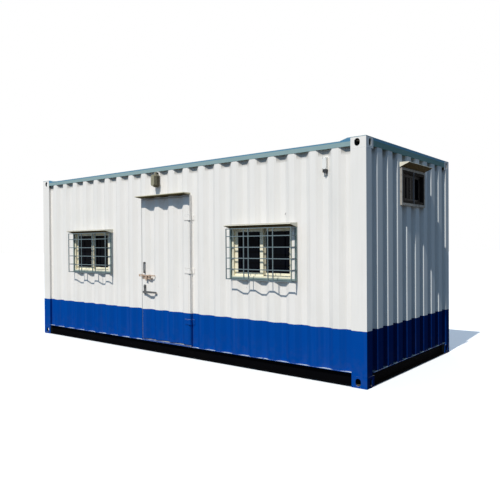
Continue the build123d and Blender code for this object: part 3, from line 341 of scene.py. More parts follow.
def rail_underseal():
    """Bottom rails: underseal on the web, blue overspray on the rim, and on the ledge that the ribs
    leave open pale dust with a painted highlight of sun, darkened on the ends as painted shade."""
    finish = Finish("bottom_rail_underseal", "#050507", 0.9)
    tree = finish.tree
    finish.mottle("#1A1814", 0.2, 200, 0.5, 0.8, detail=6.0)
    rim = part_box("bottom_side_rails")[1].z
    finish.layer(height_mask(tree, rim - 8 * MM, rim - 5 * MM), "#0C3C82")
    # Pale on the ledge's upward faces: dust, with a painted highlight standing in for sunlight.
    ledge = product(tree, facing(tree, *UPWARDS), height_mask(tree, rim - 4 * MM, rim - 2 * MM),
                    patches(tree, 50, 0.3, 0.5, detail=5.0, seed=3.0))
    finish.layer(ledge, "#B3BEC2")
    # Painted shade: the ledge darker on the end walls.
    finish.layer(product(tree, ledge, shaded_ends(tree)), "#5F7079")
    finish.grain(1, 0.6, 12, 0.3, 0.7)
    return finish.done(Specular_IOR_Level=0.02)


def ivory_powder_coat():
    """Powder-coated extruded aluminium: ivory, satin, finely textured, dusty on its ledges, and
    with painted shade on the inner sash's stile where the two sashes pass each other."""
    finish = Finish("window_ivory_powder_coat", "#EDE6CC", 0.45)
    tree = finish.tree
    finish.mottle("#D9D0B2", 0.35, 120, 0.45, 0.7, seed=4.0)
    finish.layer(product(tree, facing(tree, *UPWARDS), 0.5), "#D5CCB6", 0.8)
    sashes = solid_boxes("window_sashes")
    # Painted shade on the inner sash's stile, behind the outer sash's meeting stile.
    for outer, inner in (sashes[:2], sashes[2:]):
        stile = product(tree, strip(tree, "X", (outer[1].x + inner[0].x) / 2 + 12 * MM, 24 * MM),
                        strip(tree, "Y", (inner[0].y + inner[1].y) / 2, 12 * MM))
        finish.layer(product(tree, stile, 0.9), "#9E9987", 0.7)
    finish.grain(0.05, 0.4, 2.5, 0.3, 0.7, detail=2.0)
    return finish.done(Specular_IOR_Level=0.15)


def end_frame_enamel():
    """Steel box frame of the end window: brushed enamel, greyed and stained by run-off, and
    black down the inside of the opening as painted shade."""
    finish = Finish("end_frame_enamel_brushed", "#A7A29A", 0.65)
    tree = finish.tree
    finish.mottle("#86807A", 0.5, 80, 0.45, 0.7, seed=4.0)
    finish.mottle("#6B5647", 0.7, 30, 0.6, 0.7, 0.8, detail=7.0, seed=6.0)
    low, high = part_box("end_window_frame")
    middle, half, face = (low + high) / 2, (high - low) / 2, 29 * MM
    across, up = strip(tree, "Y", middle.y, half.y - face), strip(tree, "Z", middle.z, half.z - face)
    # Painted shade: black down the inside of the opening.
    finish.layer(product(tree, across, up), "#211E1C", 0.8)
    bar = product(tree, strip(tree, "Y", middle.y, 12 * MM), up, beyond(tree, "X", CREST_X - 40 * MM))
    finish.layer(bar, "#77777B")
    finish.grain(0.2, 0.5, 4, 0.35, 0.65, detail=3.0)
    return finish.done(Specular_IOR_Level=0.03)


def end_sash_enamel():
    """Steel sash of the end window: black as painted shade, rubbed brown in patches."""
    # Painted shade: the sash coloured black for the shade inside the opening.
    finish = Finish("end_sash_painted_shade_black", "#211F1F", 0.6)
    finish.mottle("#3A3431", 0.6, 40, 0.45, 0.7, seed=4.0)
    finish.grain(0.1, 0.5, 4, 0.35, 0.65, detail=3.0)
    return finish.done(Specular_IOR_Level=0.1)


def grille_enamel():
    """Brush-painted grey-green enamel on mild steel bar, darker and bluer on the bars that stand off
    the wall, and rusting in spots."""
    finish = Finish("grille_enamel_brushed", "#87958F", 0.6)
    tree = finish.tree
    finish.layer(product(tree, beyond(tree, "Y", -CREST_Y + 12 * MM), 0.8), "#67737A")
    finish.mottle("#6F8280", 0.4, 50, 0.45, 0.7, seed=2.0)
    finish.mottle("#7A5540", 0.7, 30, 0.68, 0.74, 0.85, detail=7.0, seed=9.0)
    finish.grain(0.15, 0.5, 3, 0.3, 0.7, detail=3.0)
    return finish.done(Specular_IOR_Level=0.05)


def hood_enamel():
    """Folded sheet hoods: cream brushed enamel, sooty on top, and dark brown underneath as painted shade."""
    finish = Finish("hood_enamel_shaded_underside", "#E6E1CF", 0.6)
    tree = finish.tree
    finish.mottle("#CFC9B4", 0.35, 100, 0.45, 0.7, seed=6.0)
    # Painted shade: dark brown on the downward faces.
    finish.layer(facing(tree, *DOWNWARDS), "#5A4D34", 0.75)
    finish.mottle(RUST, 0.8, 20, 0.72, 0.78, 0.9, detail=7.0, seed=3.0)
    finish.layer(product(tree, facing(tree, "Z", 0.5, 0.9), 0.85), SOOTY_TOP, 0.9)
    finish.grain(1, 0.4, 150, 0.3, 0.7, detail=2.0)
    return finish.done(Specular_IOR_Level=0.03)


def canopy_enamel():
    """Folded sheet canopy over the door: khaki-cream enamel, its top dark with soot and its soffit dark
    brown as painted shade.
    """
    finish = Finish("canopy_enamel_khaki", "#C9C2A8", 0.65)
    tree = finish.tree
    finish.mottle("#ADA588", 0.5, 180, 0.4, 0.7, stretch=(0.3, 1, 1), seed=5.0)
    # Painted shade: dark brown on the downward faces.
    finish.layer(facing(tree, *DOWNWARDS), "#584E34", 0.75)
    finish.mottle(RUST, 0.8, 30, 0.70, 0.76, 0.9, detail=7.0, seed=2.0)
    finish.layer(product(tree, facing(tree, "Z", 0.5, 0.9), 0.85), SOOTY_TOP, 0.9)
    finish.grain(1, 0.4, 200, 0.3, 0.7, detail=2.0)
    return finish.done(Specular_IOR_Level=0.03)


def dark_steel(name, colour, worn, roughness):
    """Bare forged or rolled steel gone dark with handling, rubbed brighter and rusty in patches."""
    finish = Finish(name, colour, roughness)
    finish.mottle(worn, 0.5, 20, 0.5, 0.7, roughness - 0.12, detail=5.0, seed=3.0)
    finish.mottle("#5A3A26", 0.8, 12, 0.66, 0.74, 0.85, detail=6.0, seed=8.0)
    finish.grain(0.08, 0.5, 2, 0.3, 0.7, detail=3.0)
    return finish.done(Metallic=0.35, Specular_IOR_Level=0.2)


def darkened_glass():
    """Float glass coloured near-black as painted shade for the unlit room behind it: smooth, a faint bloom
    of dust on it.
    """
    # Painted shade: near-black colour standing in for the dark room behind the pane.
    finish = Finish("window_glass_painted_shade", "#03050C", 0.03)
    finish.mottle("#08070D", 0.3, 300, 0.45, 0.8, detail=3.0, seed=2.0)
    finish.mottle("#3A3832", 0.03, 30, 0.6, 0.8, detail=6.0, seed=5.0)
    return finish.done(IOR=1.52, Specular_IOR_Level=0.005, Transmission_Weight=0.05)


def rubber():
    """Extruded EPDM glazing gasket: matt black with a dusty bloom."""
    finish = Finish("gasket_rubber_extruded", "#17181A", 0.75)
    finish.mottle("#3A3A38", 0.3, 20, 0.5, 0.7, 0.9)
    return finish.done(Specular_IOR_Level=0.3)


def lamp_cast():
    """Die-cast lamp housing: faded khaki enamel, dusty on its shoulders, darker on its right side as painted
    shade.
    """
    finish = Finish("lamp_cast_enamel", "#77735F", 0.65)
    tree = finish.tree
    finish.mottle("#625E4E", 0.5, 40, 0.4, 0.7, detail=5.0, seed=4.0)
    finish.mottle("#4A3B2A", 0.7, 25, 0.55, 0.65, 0.8, detail=6.0, seed=7.0)
    # Painted shade: darker on the faces that look towards +X.
    finish.layer(product(tree, facing(tree, "X", 0.3, 0.8), 0.6), "#3F3B33")
    finish.layer(product(tree, facing(tree, *UPWARDS), 0.5), DUST)
    finish.grain(0.2, 0.5, 4, 0.3, 0.7, detail=3.0)
    return finish.done(Specular_IOR_Level=0.1)


def lamp_glass():
    """Pressed glass lamp cover: yellowed, ribbed and dusty, darker on its right side as painted shade."""
    finish = Finish("lamp_glass_pressed", "#8F8B74", 0.35)
    tree = finish.tree
    place = add(tree, "ShaderNodeTexCoord").outputs["Object"]
    rib_pitch, radians = 5 * MM, 20    # the wave texture runs through 20 radians to the metre at scale 1
    scale = math.tau / (radians * rib_pitch)
    ribs = add(tree, "ShaderNodeTexWave", {"Vector": place, "Scale": scale}, bands_direction="X")
    finish.mottle("#6B6750", 0.6, 30, 0.4, 0.7, 0.5, seed=1.0)
    finish.mottle("#A9A389", 0.6, 20, 0.55, 0.65, detail=5.0, seed=6.0)
    # Painted shade: darker on the faces that look towards +X.
    finish.layer(product(tree, facing(tree, "X", 0.3, 0.8), 0.5), "#4A463A")
    finish.bump(ribs.outputs["Fac"], 1 * MM, 0.5)
    return finish.done(IOR=1.5, Specular_IOR_Level=0.25)


def box_plastic():
    """Injection-moulded PVC box: white gone slightly grey, its socket black and its gland grey."""
    finish = Finish("box_pvc_moulded", "#E6E4DF", 0.5)
    tree = finish.tree
    finish.mottle("#D2D0C8", 0.3, 40, 0.45, 0.75, seed=3.0)
    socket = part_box("junction_box")[1].z - BOX_HEIGHT
    gland = socket - SOCKET_HEIGHT
    finish.layer(height_mask(tree, socket, socket - 1.5 * MM), "#3C3D3F", 0.6)
    finish.layer(height_mask(tree, gland, gland - 1.5 * MM), "#A5A5A2", 0.6)
    finish.grain(0.05, 0.4, 2, 0.3, 0.7, detail=2.0)
    return finish.done(Specular_IOR_Level=0.1)


def sill_steel():
    """Steel threshold: blue enamel, its top trodden through to bright metal in patches."""
    finish = Finish("sill_steel_worn", "#123F86", 0.5)
    tree = finish.tree
    trodden = product(tree, facing(tree, *UPWARDS), patches(tree, 100, 0.35, 0.55, detail=6.0))
    finish.layer(trodden, "#A9ADAC", 0.5)
    finish.mottle("#6D5B48", 0.8, 30, 0.55, 0.7, 0.8, detail=6.0, seed=4.0)
    finish.grain(0.3, 0.5, 10, 0.3, 0.7)
    return finish.done()


def lining_board():
    """Melamine-faced lining board: off-white satin with a shallow joint every 2440 mm."""
    finish = Finish("lining_board_melamine", "#DCD8CC", 0.45)
    tree = finish.tree
    across = add(tree, "ShaderNodeMath", {0: along(tree, "X"), 1: along(tree, "Y")}, operation="ADD")
    half_board = 1220 * MM    # out and back again is one board
    step = add(tree, "ShaderNodeMath", {0: across.outputs[0], 1: half_board}, operation="PINGPONG")
    joint = add(tree, "ShaderNodeMapRange",
                {"Value": step.outputs[0], "From Min": 4 * MM, "From Max": 1 * MM}).outputs[0]
    finish.mottle("#CFC9B8", 0.3, 500, 0.4, 0.7, seed=2.0)
    finish.layer(product(tree, joint, 0.6), "#8E887A", 0.7)
    finish.bump(joint, -1 * MM, 0.8)
    return finish.done()


def floor_board():
    """Sealed plywood floor: worn brown varnish over lengthwise grain."""
    finish = Finish("floor_plywood_sealed", "#6B4E33", 0.5)
    fibres = patches(finish.tree, 12, 0.35, 0.65, stretch=(0.03, 1, 1), detail=6.0, seed=3.0)
    finish.layer(product(finish.tree, fibres, 0.6), "#8A6846")
    finish.mottle("#574232", 0.5, 400, 0.45, 0.7, 0.75, detail=5.0, seed=5.0)
    finish.bump(fibres, 0.3 * MM, 0.4)
    return finish.done()


def seam_grime():
    """Line of grime and thin rust caught along the edge of a painted-over plate."""
    finish = Finish("seam_paint_grimed", "#6E6D6B", 0.8)
    finish.mottle("#5A554F", 1.0, 20, 0.45, 0.7, detail=5.0, seed=2.0)
    return finish.done(Specular_IOR_Level=0.0)


def door_seal():
    """Extruded PVC seal round the door leaf: pale grey, satin, dusty in its groove."""
    finish = Finish("door_seal_pvc_extruded", "#B4B6B5", 0.6)
    finish.mottle("#90908C", 0.5, 50, 0.45, 0.7, 0.8, seed=6.0)
    return finish.done(Specular_IOR_Level=0.2)


def zinc_plate():
    """Bright zinc-plated screw steel, dulled by weather."""
    finish = Finish("screw_zinc_plated", "#8E9090", 0.45)
    finish.mottle("#6B625A", 0.6, 6, 0.5, 0.7, 0.7)
    return finish.done(Metallic=0.8)


FINISH = {
    "wall": wall_enamel(),
    "casting": wall_enamel("casting_enamel_sprayed", hollow=True),
    "frame": frame_enamel(),
    "end_rail": end_rail_enamel(),
    "roof": roof_enamel(),
    "underseal": underseal(),
    "rail": rail_underseal(),
    "ivory": ivory_powder_coat(),
    "end_frame": end_frame_enamel(),
    "end_sash": end_sash_enamel(),
    "grille": grille_enamel(),
    "hood": hood_enamel(),
    "canopy": canopy_enamel(),
    "handle": dark_steel("handle_steel_dark", "#585858", "#7C7C77", 0.5),
    "bolt": dark_steel("bolt_steel_browned", "#B39B87", "#C8B8A6", 0.55),
    "glass": darkened_glass(),
    "rubber": rubber(),
    "lamp": lamp_cast(),
    "lamp_glass": lamp_glass(),
    "box": box_plastic(),
    "sill": sill_steel(),
    "board": lining_board(),
    "floor": floor_board(),
    "zinc": zinc_plate(),
    "grime": seam_grime(),
    "seal": door_seal(),
}

NODE_FINISH = {
    "wall": ("front_wall_left", "front_wall_right", "front_wall_over_door", "back_wall", "right_end_wall",
             "left_end_wall", "corner_posts", "door_surround", "door_skin", "door_leaf_frame",
             "hinge_wall_halves", "hinge_door_halves", "rib_packings"),
    "casting": ("top_corner_castings", "bottom_corner_castings"),
    "frame": ("top_side_rails", "header_plates"),
    "end_rail": ("top_end_rails",),
    "roof": ("roof_sheet",),
    "underseal": ("cross_members",),
    "rail": ("bottom_side_rails", "bottom_end_rails"),
    "ivory": ("window_frames", "window_sashes"),
    "end_frame": ("end_window_frame",),
    "end_sash": ("end_window_sash",),
    "grille": ("window_grilles",),
    "hood": ("window_hoods", "end_window_hood"),
    "canopy": ("door_canopy",),
    "handle": ("pull_handle", "lever_plate", "lever_handle"),
    "bolt": ("slide_bolt", "bolt_guides", "bolt_keeper"),
    "glass": ("window_panes", "end_window_panes"),
    "lamp": ("wall_lamp",),
    "lamp_glass": ("lamp_lens",),
    "box": ("junction_box",),
    "sill": ("door_sill",),
    "board": ("front_lining_left", "front_lining_right", "front_lining_over_door", "back_lining",
              "right_end_lining", "left_end_lining", "ceiling_lining", "door_lining"),
    "floor": ("floor",),
}


def finish_nodes():
    """Gives every CAD node its finish."""
    for name, nodes in NODE_FINISH.items():
        for node in nodes:
            for material_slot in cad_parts[node].material_slots:
                material_slot.material = FINISH[name]


finish_nodes()


# ---- small pieces that repeat or follow an edge --------------------------------------------
def new_tree(name, **sizes):
    """Starts a Geometry Nodes tree: a mesh comes in, with one named number for each size."""
    tree = bpy.data.node_groups.new(name, "GeometryNodeTree")
    tree.interface.new_socket("Geometry", in_out="OUTPUT", socket_type="NodeSocketGeometry")
    tree.interface.new_socket("Geometry", in_out="INPUT", socket_type="NodeSocketGeometry")
    for label, value in sizes.items():
        tree.interface.new_socket(label, in_out="INPUT", socket_type="NodeSocketFloat").default_value = value
    return tree, add(tree, "NodeGroupInput").outputs


def end_tree(tree, shape, material):
    """Ends a tree: real faces, one material, and the way out."""
    real = add(tree, "GeometryNodeRealizeInstances", {0: shape})
    painted = add(tree, "GeometryNodeSetMaterial", {0: real.outputs[0], "Material": material})
    add(tree, "NodeGroupOutput", {0: painted.outputs[0]})
    return tree


def screw_tree(name, material):
    """Hexagon screw heads on thin washers, square to their faces and turned at random."""
    tree, given = new_tree(name, Radius=4 * MM, Depth=2.5 * MM, Washer=1 * MM)
    broad = add(tree, "ShaderNodeMath", {0: given["Radius"], 1: 1.5}, operation="MULTIPLY").outputs[0]
    thick = add(tree, "ShaderNodeMath", {0: given["Washer"], 1: 2.0}, operation="MULTIPLY").outputs[0]
    tall = add(tree, "ShaderNodeMath", {0: given["Depth"], 1: 2.0}, operation="MULTIPLY").outputs[0]
    washer = add(tree, "GeometryNodeMeshCylinder", {"Vertices": 12, "Radius": broad, "Depth": thick})
    head = add(tree, "GeometryNodeMeshCylinder", {"Vertices": 6, "Radius": given["Radius"], "Depth": tall})
    both = add(tree, "GeometryNodeJoinGeometry")
    tree.links.new(washer.outputs[0], both.inputs[0])
    tree.links.new(head.outputs[0], both.inputs[0])
    way = add(tree, "GeometryNodeInputNamedAttribute", {"Name": "facing"}, data_type="FLOAT_VECTOR")
    square = add(tree, "FunctionNodeAlignRotationToVector", {"Vector": way.outputs[0]}, axis="Z")
    angle = add(tree, "FunctionNodeRandomValue", {2: 0.0, 3: math.tau, "Seed": 7}, data_type="FLOAT")
    spin = add(tree, "FunctionNodeAxisAngleToRotation", {"Axis": (0, 0, 1), "Angle": angle.outputs[1]})
    turn = add(tree, "FunctionNodeRotateRotation", {0: square.outputs[0], 1: spin.outputs[0]},
               rotation_space="LOCAL")
    placed = add(tree, "GeometryNodeInstanceOnPoints",
                 {"Points": given["Geometry"], "Instance": both.outputs[0], "Rotation": turn.outputs[0]})
    return end_tree(tree, placed.outputs[0], material)


def bead_tree(name, material):
    """A round bead along each edge, swelling and thinning as weld metal does."""
    tree, given = new_tree(name, Radius=3 * MM, Step=15 * MM, Ripple=0.8)
    path = add(tree, "GeometryNodeMeshToCurve", {0: given["Geometry"]})
    even = add(tree, "GeometryNodeResampleCurve", {"Curve": path.outputs[0], "Length": given["Step"]},
               mode="LENGTH")
    place = add(tree, "GeometryNodeInputPosition")
    swells = 55.0    # in each metre, one to about 18 mm
    noise = add(tree, "ShaderNodeTexNoise", {"Vector": place.outputs[0], "Scale": swells, "Detail": 1.0})
    off = add(tree, "ShaderNodeMath", {0: noise.outputs[0], 1: 0.5}, operation="SUBTRACT")
    swell = add(tree, "ShaderNodeMath", {0: off.outputs[0], 1: given["Ripple"], 2: 1.0},
                operation="MULTIPLY_ADD")
    ring = add(tree, "GeometryNodeCurvePrimitiveCircle", {"Resolution": 6, "Radius": given["Radius"]})
    sweep = add(tree, "GeometryNodeCurveToMesh", {"Curve": even.outputs[0], "Profile Curve": ring.outputs[0],
                                                  "Scale": swell.outputs[0], "Fill Caps": True})
    return end_tree(tree, sweep.outputs[0], material)


def keep(name, body, mesh):
    """Links a finished mesh as a piece that rides a body."""
    mesh.name = name
    piece = bpy.data.objects.new(name, mesh)
    bpy.context.scene.collection.objects.link(piece)
    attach(piece, body)


def grow(tree, name, body, slot, points, edges=(), facings=(), **sizes):
    """Runs a tree on the points and edges and keeps the result as one plain mesh piece."""
    mesh = bpy.data.meshes.new(name + "_carrier")
    mesh.from_pydata([tuple(point) for point in points], edges, [])
    if facings:
        values = mesh.attributes.new("facing", "FLOAT_VECTOR", "POINT").data
        for value, direction in zip(values, facings):
            value.vector = direction
    carrier = bpy.data.objects.new(name + "_carrier", mesh)
    bpy.context.scene.collection.objects.link(carrier)
    modifier = carrier.modifiers.new("grow", "NODES")
    modifier.node_group = tree
    for item in tree.interface.items_tree:
        if item.in_out == "INPUT" and item.name in sizes:
            modifier[item.identifier] = sizes[item.name]
    grown = carrier.evaluated_get(bpy.context.evaluated_depsgraph_get())
    result = bpy.data.meshes.new_from_object(grown)
    bpy.data.objects.remove(carrier)
    material = next(filled for filled in result.materials if filled)    # instances bring an empty slot
    result.materials.clear()
    result.materials.append(material)
    for face in result.polygons:
        face.material_index = 0
    keep(name, body, result)


def grow_screws(finish, name, body, slot, places, **sizes):
    """Screw heads at (place, direction) pairs."""
    points, directions = zip(*places)
    grow(screw_tree(name, FINISH[finish]), name, body, slot, points, facings=directions, **sizes)


def grow_beads(finish, name, body, slot, lines, **sizes):
    """Beads along lines of points."""
    points, edges = [], []
    for line in lines:
        edges += [(len(points) + n, len(points) + n + 1) for n in range(len(line) - 1)]
        points += line
    grow(bead_tree(name, FINISH[finish]), name, body, slot, points, edges, **sizes)


def bars(finish, name, body, boxes):
    """Straight bars: one box for each pair of corners, in one mesh."""
    points, faces = [], []
    for low, high in boxes:
        first = len(points)
        points += [(x, y, z) for z in (low[2], high[2])
                   for x, y in ((low[0], low[1]), (high[0], low[1]), (high[0], high[1]), (low[0], high[1]))]
        for face in ((0, 3, 2, 1), (4, 5, 6, 7), (0, 1, 5, 4), (1, 2, 6, 5), (2, 3, 7, 6), (3, 0, 4, 7)):
            faces.append(tuple(first + corner for corner in face))
    mesh = bpy.data.meshes.new(name)
    mesh.from_pydata(points, [], faces)
    mesh.materials.append(FINISH[finish])
    keep(name, body, mesh)


def rib_line(start, end, pitch, trough, slope, depth):
    """(Along, in) points of a corrugated sheet's outer face between two places along it."""
    def inward(place):
        away = abs((place + pitch / 2) % pitch - pitch / 2)
        return depth * min(1.0, max(0.0, (trough / 2 + slope - away) / slope))

    corners = [number * pitch + side * half
               for number in range(math.floor(start / pitch), math.ceil(end / pitch) + 1)
               for side in (-1, 1) for half in (trough / 2, trough / 2 + slope)]
    stops = sorted({start, end, *(corner for corner in corners if start < corner < end)})
    return [(place, inward(place)) for place in stops]


def wall_welds():
    """Fillet welds that follow the ribs along the foot and head of every wall."""
    foot, head = WALL_LOW.z, WALL_HIGH.z
    lines = []
    for node in ("front_wall_left", "front_wall_right", "front_wall_over_door"):
        low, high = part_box(node)
        ribs = rib_line(low.x, high.x, *SIDE_RIBS)
        levels = (head,) if node == "front_wall_over_door" else (foot, head)
        lines += [[(x, CREST_Y + inward, z) for x, inward in ribs] for z in levels]
    low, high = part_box("back_wall")
    ribs = rib_line(low.x, high.x, *SIDE_RIBS)
    lines += [[(x, high.y - inward, z) for x, inward in ribs] for z in (foot, head)]
    low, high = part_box("right_end_wall")
    ribs = rib_line(low.y, high.y, *END_RIBS)
    lines += [[(side * (CREST_X - inward), y, z) for y, inward in ribs]
              for z in (foot, head) for side in (-1, 1)]
    grow_beads("wall", "wall_weld_beads", "cabin", "wall_paint", lines, Radius=2.2 * MM, Step=25 * MM)


def post_welds():
    """Welds that join the two door-side posts to their castings, mostly sunk in the steel; those
    of the right post run on round its corner."""
    sink = 1 * MM
    seams = []
    for low, high in solid_boxes("corner_posts"):
        if low.y < 0:
            for z in (low.z, high.z):
                seam = [(low.x, low.y + sink, z), (high.x, low.y + sink, z)]
                if low.x > 0:
                    seam[1:] = [(high.x - sink, low.y + sink, z), (high.x - sink, high.y, z)]
                seams.append(seam)
    grow_beads("wall", "post_weld_beads", "cabin", "wall_paint", seams, Radius=1.8 * MM, Step=12 * MM)


def hinge_pieces():
    """Painted-over screws in the hinge leaves, and grime along the edges of those on the door."""
    leaf_face, trough_face = CREST_Y - 6 * MM, CREST_Y + 30 * MM
    columns, rows, edge_length = (22 * MM, 55 * MM), (-20 * MM, 20 * MM), 96 * MM
    door, wall, lines = [], [], []
    for low, high in solid_boxes("hinge_door_halves"):
        middle = (low.z + high.z) / 2
        door += [((low.x + x, leaf_face, middle + z), OUT_FRONT) for x in columns for z in rows]
        lines += [[(low.x, CREST_Y, z), (low.x + edge_length, CREST_Y, z)] for z in (low.z, high.z)]
    for low, high in solid_boxes("hinge_wall_halves"):
        middle = (low.z + high.z) / 2
        wall += [((high.x - 10 * MM, trough_face, middle + z), OUT_FRONT) for z in rows]
    grow_screws("wall", "hinge_screws_door", "door", "wall_paint", door, Radius=5 * MM)
    grow_screws("wall", "hinge_screws_wall", "cabin", "wall_paint", wall, Radius=4 * MM)
    grow_beads("grime", "hinge_edge_beads", "door", "wall_paint", lines, Radius=2.8 * MM, Step=12 * MM)


def lock_screws():
    """Zinc-plated screws in the lever's plate and the bolt's plate."""
    lever_low, lever_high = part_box("lever_plate")
    bolt_low, bolt_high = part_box("bolt_guides")
    lever_x, lever_face = (lever_low.x + lever_high.x) / 2, CREST_Y - 6 * MM
    bolt_z, bolt_face, inset = bolt_low.z + 9 * MM, CREST_Y - 3 * MM, 12 * MM
    places = [((lever_x, lever_face, z), OUT_FRONT) for z in (lever_low.z + 7 * MM, lever_high.z - 9 * MM)]
    places += [((x, bolt_face, bolt_z), OUT_FRONT)
               for x in (bolt_low.x + inset, (bolt_low.x + bolt_high.x) / 2, bolt_high.x - inset)]
    grow_screws("zinc", "lock_screws", "door", "handle_steel", places, Radius=3.5 * MM, Depth=2 * MM)


def frame_screws():
    """Zinc-plated screws round the end window's frame and in the corners of the junction box."""
    places = []
    low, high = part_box("end_window_frame")
    inset = 15 * MM
    for y in (low.y + inset, (low.y + high.y) / 2, high.y - inset):
        places += [((high.x, y, z), OUT_RIGHT) for z in (low.z + inset, high.z - inset)]
    low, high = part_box("junction_box")
    foot, inset = high.z - BOX_HEIGHT, 7 * MM
    for x in (low.x + inset, high.x - inset):
        places += [((x, low.y, z), OUT_FRONT) for z in (foot + inset, high.z - inset)]
    grow_screws("zinc", "frame_screws", "cabin", "handle_steel", places, Radius=3 * MM, Depth=2 * MM)


def floor_screws():
    """Rows of zinc-plated screws that hold the floor to each cross member."""
    top, spacing, each_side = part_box("floor")[1].z, 270 * MM, 4
    places = [(((low.x + high.x) / 2, number * spacing, top), UP)
              for low, high in solid_boxes("cross_members")
              for number in range(-each_side, each_side + 1)]
    grow_screws("zinc", "floor_screws", "cabin", "handle_steel", places,
                Radius=5 * MM, Depth=1.5 * MM, Washer=0.6 * MM)


def cage_welds():
    """Weld spots where the upright bars of the window cages cross the level ones."""
    shift, first_row, row_pitch = 12 * MM, 126 * MM, 130 * MM
    uprights = [shift + side * half for side in (-1, 1) for half in (143 * MM, 213 * MM)]
    rows = [first_row + number * row_pitch for number in range(4)]
    half_length, depth, rise = 8 * MM, 6 * MM, 5 * MM
    lines = []
    for low, high in solid_boxes("window_grilles"):
        for upright in uprights:
            x = (low.x + high.x) / 2 + upright
            lines += [[(x - half_length, low.y + depth, low.z + row + rise),
                       (x + half_length, low.y + depth, low.z + row + rise)] for row in rows]
    grow_beads("grille", "cage_weld_spots", "cabin", "grille_paint", lines, Radius=2.5 * MM, Step=5 * MM)


def cage_flats():
    """Flat bar on the wall down the left side of each window cage, as on its right side."""
    broad, thick = 28 * MM, 5 * MM
    boxes = [((low.x - broad, CREST_Y - thick, low.z), (low.x, CREST_Y, high.z))
             for low, high in solid_boxes("window_grilles")]
    bars("grille", "cage_wall_flats", "cabin", boxes)


def wire_hook():
    """Bent wire hook welded to the wall above the right-hand window."""
    x, y, z = 2.010, CREST_Y + 30 * MM, 1.846
    bends = ((0, 0, 0), (0, -6, -6), (0, -9, -15), (2, -15, -20), (4, -21, -14))    # millimetres
    line = [(x + right * MM, y + back * MM, z + up * MM) for right, back, up in bends]
    grow_beads("handle", "wire_hook", "cabin", "handle_steel", [line],
               Radius=2.5 * MM, Step=4 * MM, Ripple=0.1)


def gasket_ring(low, high, across, outwards, near, far):
    """Four bars just inside a pane's opening, between two depths along the axis that it looks."""
    rebate, width = 9 * MM, 4 * MM
    a0, a1, z0, z1 = low[across] + rebate, high[across] - rebate, low.z + rebate, high.z - rebate
    sides = ((a0, a1, z0, z0 + width), (a0, a1, z1 - width, z1),
             (a0, a0 + width, z0 + width, z1 - width), (a1 - width, a1, z0 + width, z1 - width))
    boxes = []
    for a_from, a_to, z_from, z_to in sides:
        start, end = [0, 0, z_from], [0, 0, z_to]
        start[across], end[across] = a_from, a_to
        start[outwards], end[outwards] = near, far
        boxes.append((start, end))
    return boxes


def gaskets():
    """Rubber glazing gaskets on the outside of every pane."""
    thick = 4 * MM
    boxes = []
    for low, high in solid_boxes("window_panes"):
        boxes += gasket_ring(low, high, 0, 1, low.y - thick, low.y)
    for low, high in solid_boxes("end_window_panes"):
        boxes += gasket_ring(low, high, 1, 0, high.x, high.x + thick)
    bars("rubber", "window_gaskets", "cabin", boxes)


def door_seals():
    """Grey seal on the head and latch edges of the door leaf, filling most of the gap."""
    low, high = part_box("door_leaf_frame")
    near, far, thick = CREST_Y + 3 * MM, CREST_Y + 15 * MM, 6 * MM
    boxes = [((low.x - thick, near, low.z), (low.x, far, high.z + thick)),
             ((low.x, near, high.z), (high.x, far, high.z + thick))]
    bars("seal", "door_seals", "door", boxes)


wall_welds()
post_welds()
hinge_pieces()
lock_screws()
frame_screws()
floor_screws()
cage_welds()
cage_flats()
wire_hook()
gaskets()
door_seals()


# ---- camera, light and floor ---------------------------------------------------------------
def set_camera():
    """Camera at the fitted place, level with a tall person's chest."""
    data = bpy.data.cameras.new("camera")
    data.lens = CAMERA_LENS
    data.sensor_width = CAMERA_SENSOR
    camera = bpy.data.objects.new("camera", data)
    turn = (Matrix.Rotation(math.radians(CAMERA_YAW), 4, "Z")
            @ Matrix.Rotation(math.radians(90 + CAMERA_PITCH), 4, "X")
            @ Matrix.Rotation(math.radians(CAMERA_ROLL), 4, "Z"))
    camera.matrix_world = Matrix.Translation(CAMERA_PLACE) @ turn
    bpy.context.scene.collection.objects.link(camera)
    bpy.context.scene.camera = camera


def set_lamp(name, azimuth, elevation, strength, softness, colour):
    """Distant lamp; azimuth turns from +X towards +Y."""
    data = bpy.data.lights.new(name, "SUN")
    data.color = srgb(colour)[:3]
    data.energy = strength
    data.angle = math.radians(softness)
    lamp = bpy.data.objects.new(name, data)
    a, e = math.radians(azimuth), math.radians(elevation)
    to_lamp = Vector((math.cos(a) * math.cos(e), math.sin(a) * math.cos(e), math.sin(e)))
    lamp.rotation_euler = to_lamp.to_track_quat("Z", "Y").to_euler()
    bpy.context.scene.collection.objects.link(lamp)


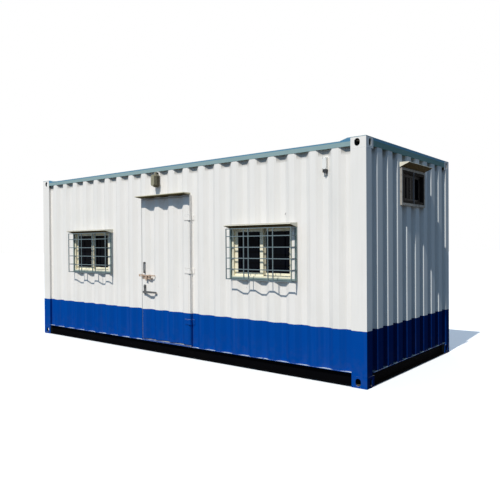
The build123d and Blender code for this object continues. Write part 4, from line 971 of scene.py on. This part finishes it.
def directly_seen(tree):
    """Factor of 1 for what the camera sees, by itself, in gloss or through glass, else 0."""
    path = add(tree, "ShaderNodeLightPath").outputs
    seen = add(tree, "ShaderNodeMath", {0: path["Is Camera Ray"], 1: path["Is Glossy Ray"]},
               operation="MAXIMUM")
    seen = add(tree, "ShaderNodeMath", {0: seen.outputs[0], 1: path["Is Transmission Ray"]},
               operation="MAXIMUM")
    return seen.outputs[0]


def set_world():
    """Cool ambient light in front of a plain white backdrop."""
    world = bpy.data.worlds.new("studio")
    world.use_nodes = True
    tree = world.node_tree
    tree.nodes.clear()
    ambient = add(tree, "ShaderNodeBackground", {0: (0.168, 0.29, 0.45, 1), 1: 1.0})
    backdrop = add(tree, "ShaderNodeBackground", {0: (1, 1, 1, 1), 1: 1.0})
    mix = add(tree, "ShaderNodeMixShader",
              {0: directly_seen(tree), 1: ambient.outputs[0], 2: backdrop.outputs[0]})
    add(tree, "ShaderNodeOutputWorld", {0: mix.outputs[0]})
    bpy.context.scene.world = world


def set_floor():
    """Plain pale floor, darker for the light that it throws back at the cabin."""
    mesh = bpy.data.meshes.new("studio_floor")
    reach = 90.0
    corners = [(-reach, -reach), (reach, -reach), (reach, reach), (-reach, reach)]
    mesh.from_pydata([(x, y, GROUND) for x, y in corners], [], [(0, 1, 2, 3)])
    floor = bpy.data.objects.new("studio_floor", mesh)
    bpy.context.scene.collection.objects.link(floor)
    material = bpy.data.materials.new("studio_floor_matt")
    material.use_nodes = True
    tree = material.node_tree
    tree.nodes.clear()
    pale = add(tree, "ShaderNodeBsdfDiffuse", {0: (0.86, 0.86, 0.86, 1)})
    dim = add(tree, "ShaderNodeBsdfDiffuse", {0: (0.10, 0.085, 0.065, 1)})
    mix = add(tree, "ShaderNodeMixShader", {0: directly_seen(tree), 1: dim.outputs[0], 2: pale.outputs[0]})
    add(tree, "ShaderNodeOutputMaterial", {0: mix.outputs[0]})
    mesh.materials.append(material)


bpy.context.scene.view_settings.view_transform = "Standard"
set_camera()
set_lamp("key", azimuth=-85.6, elevation=52.0, strength=4.1, softness=0.9, colour="#FFFBF3")
set_lamp("sky", azimuth=-105.0, elevation=20.0, strength=0.38, softness=60.0, colour="#9BCCFF")
set_lamp("fill", azimuth=130.0, elevation=38.0, strength=1.3, softness=20.0, colour="#FFFFFF")
set_world()
set_floor()
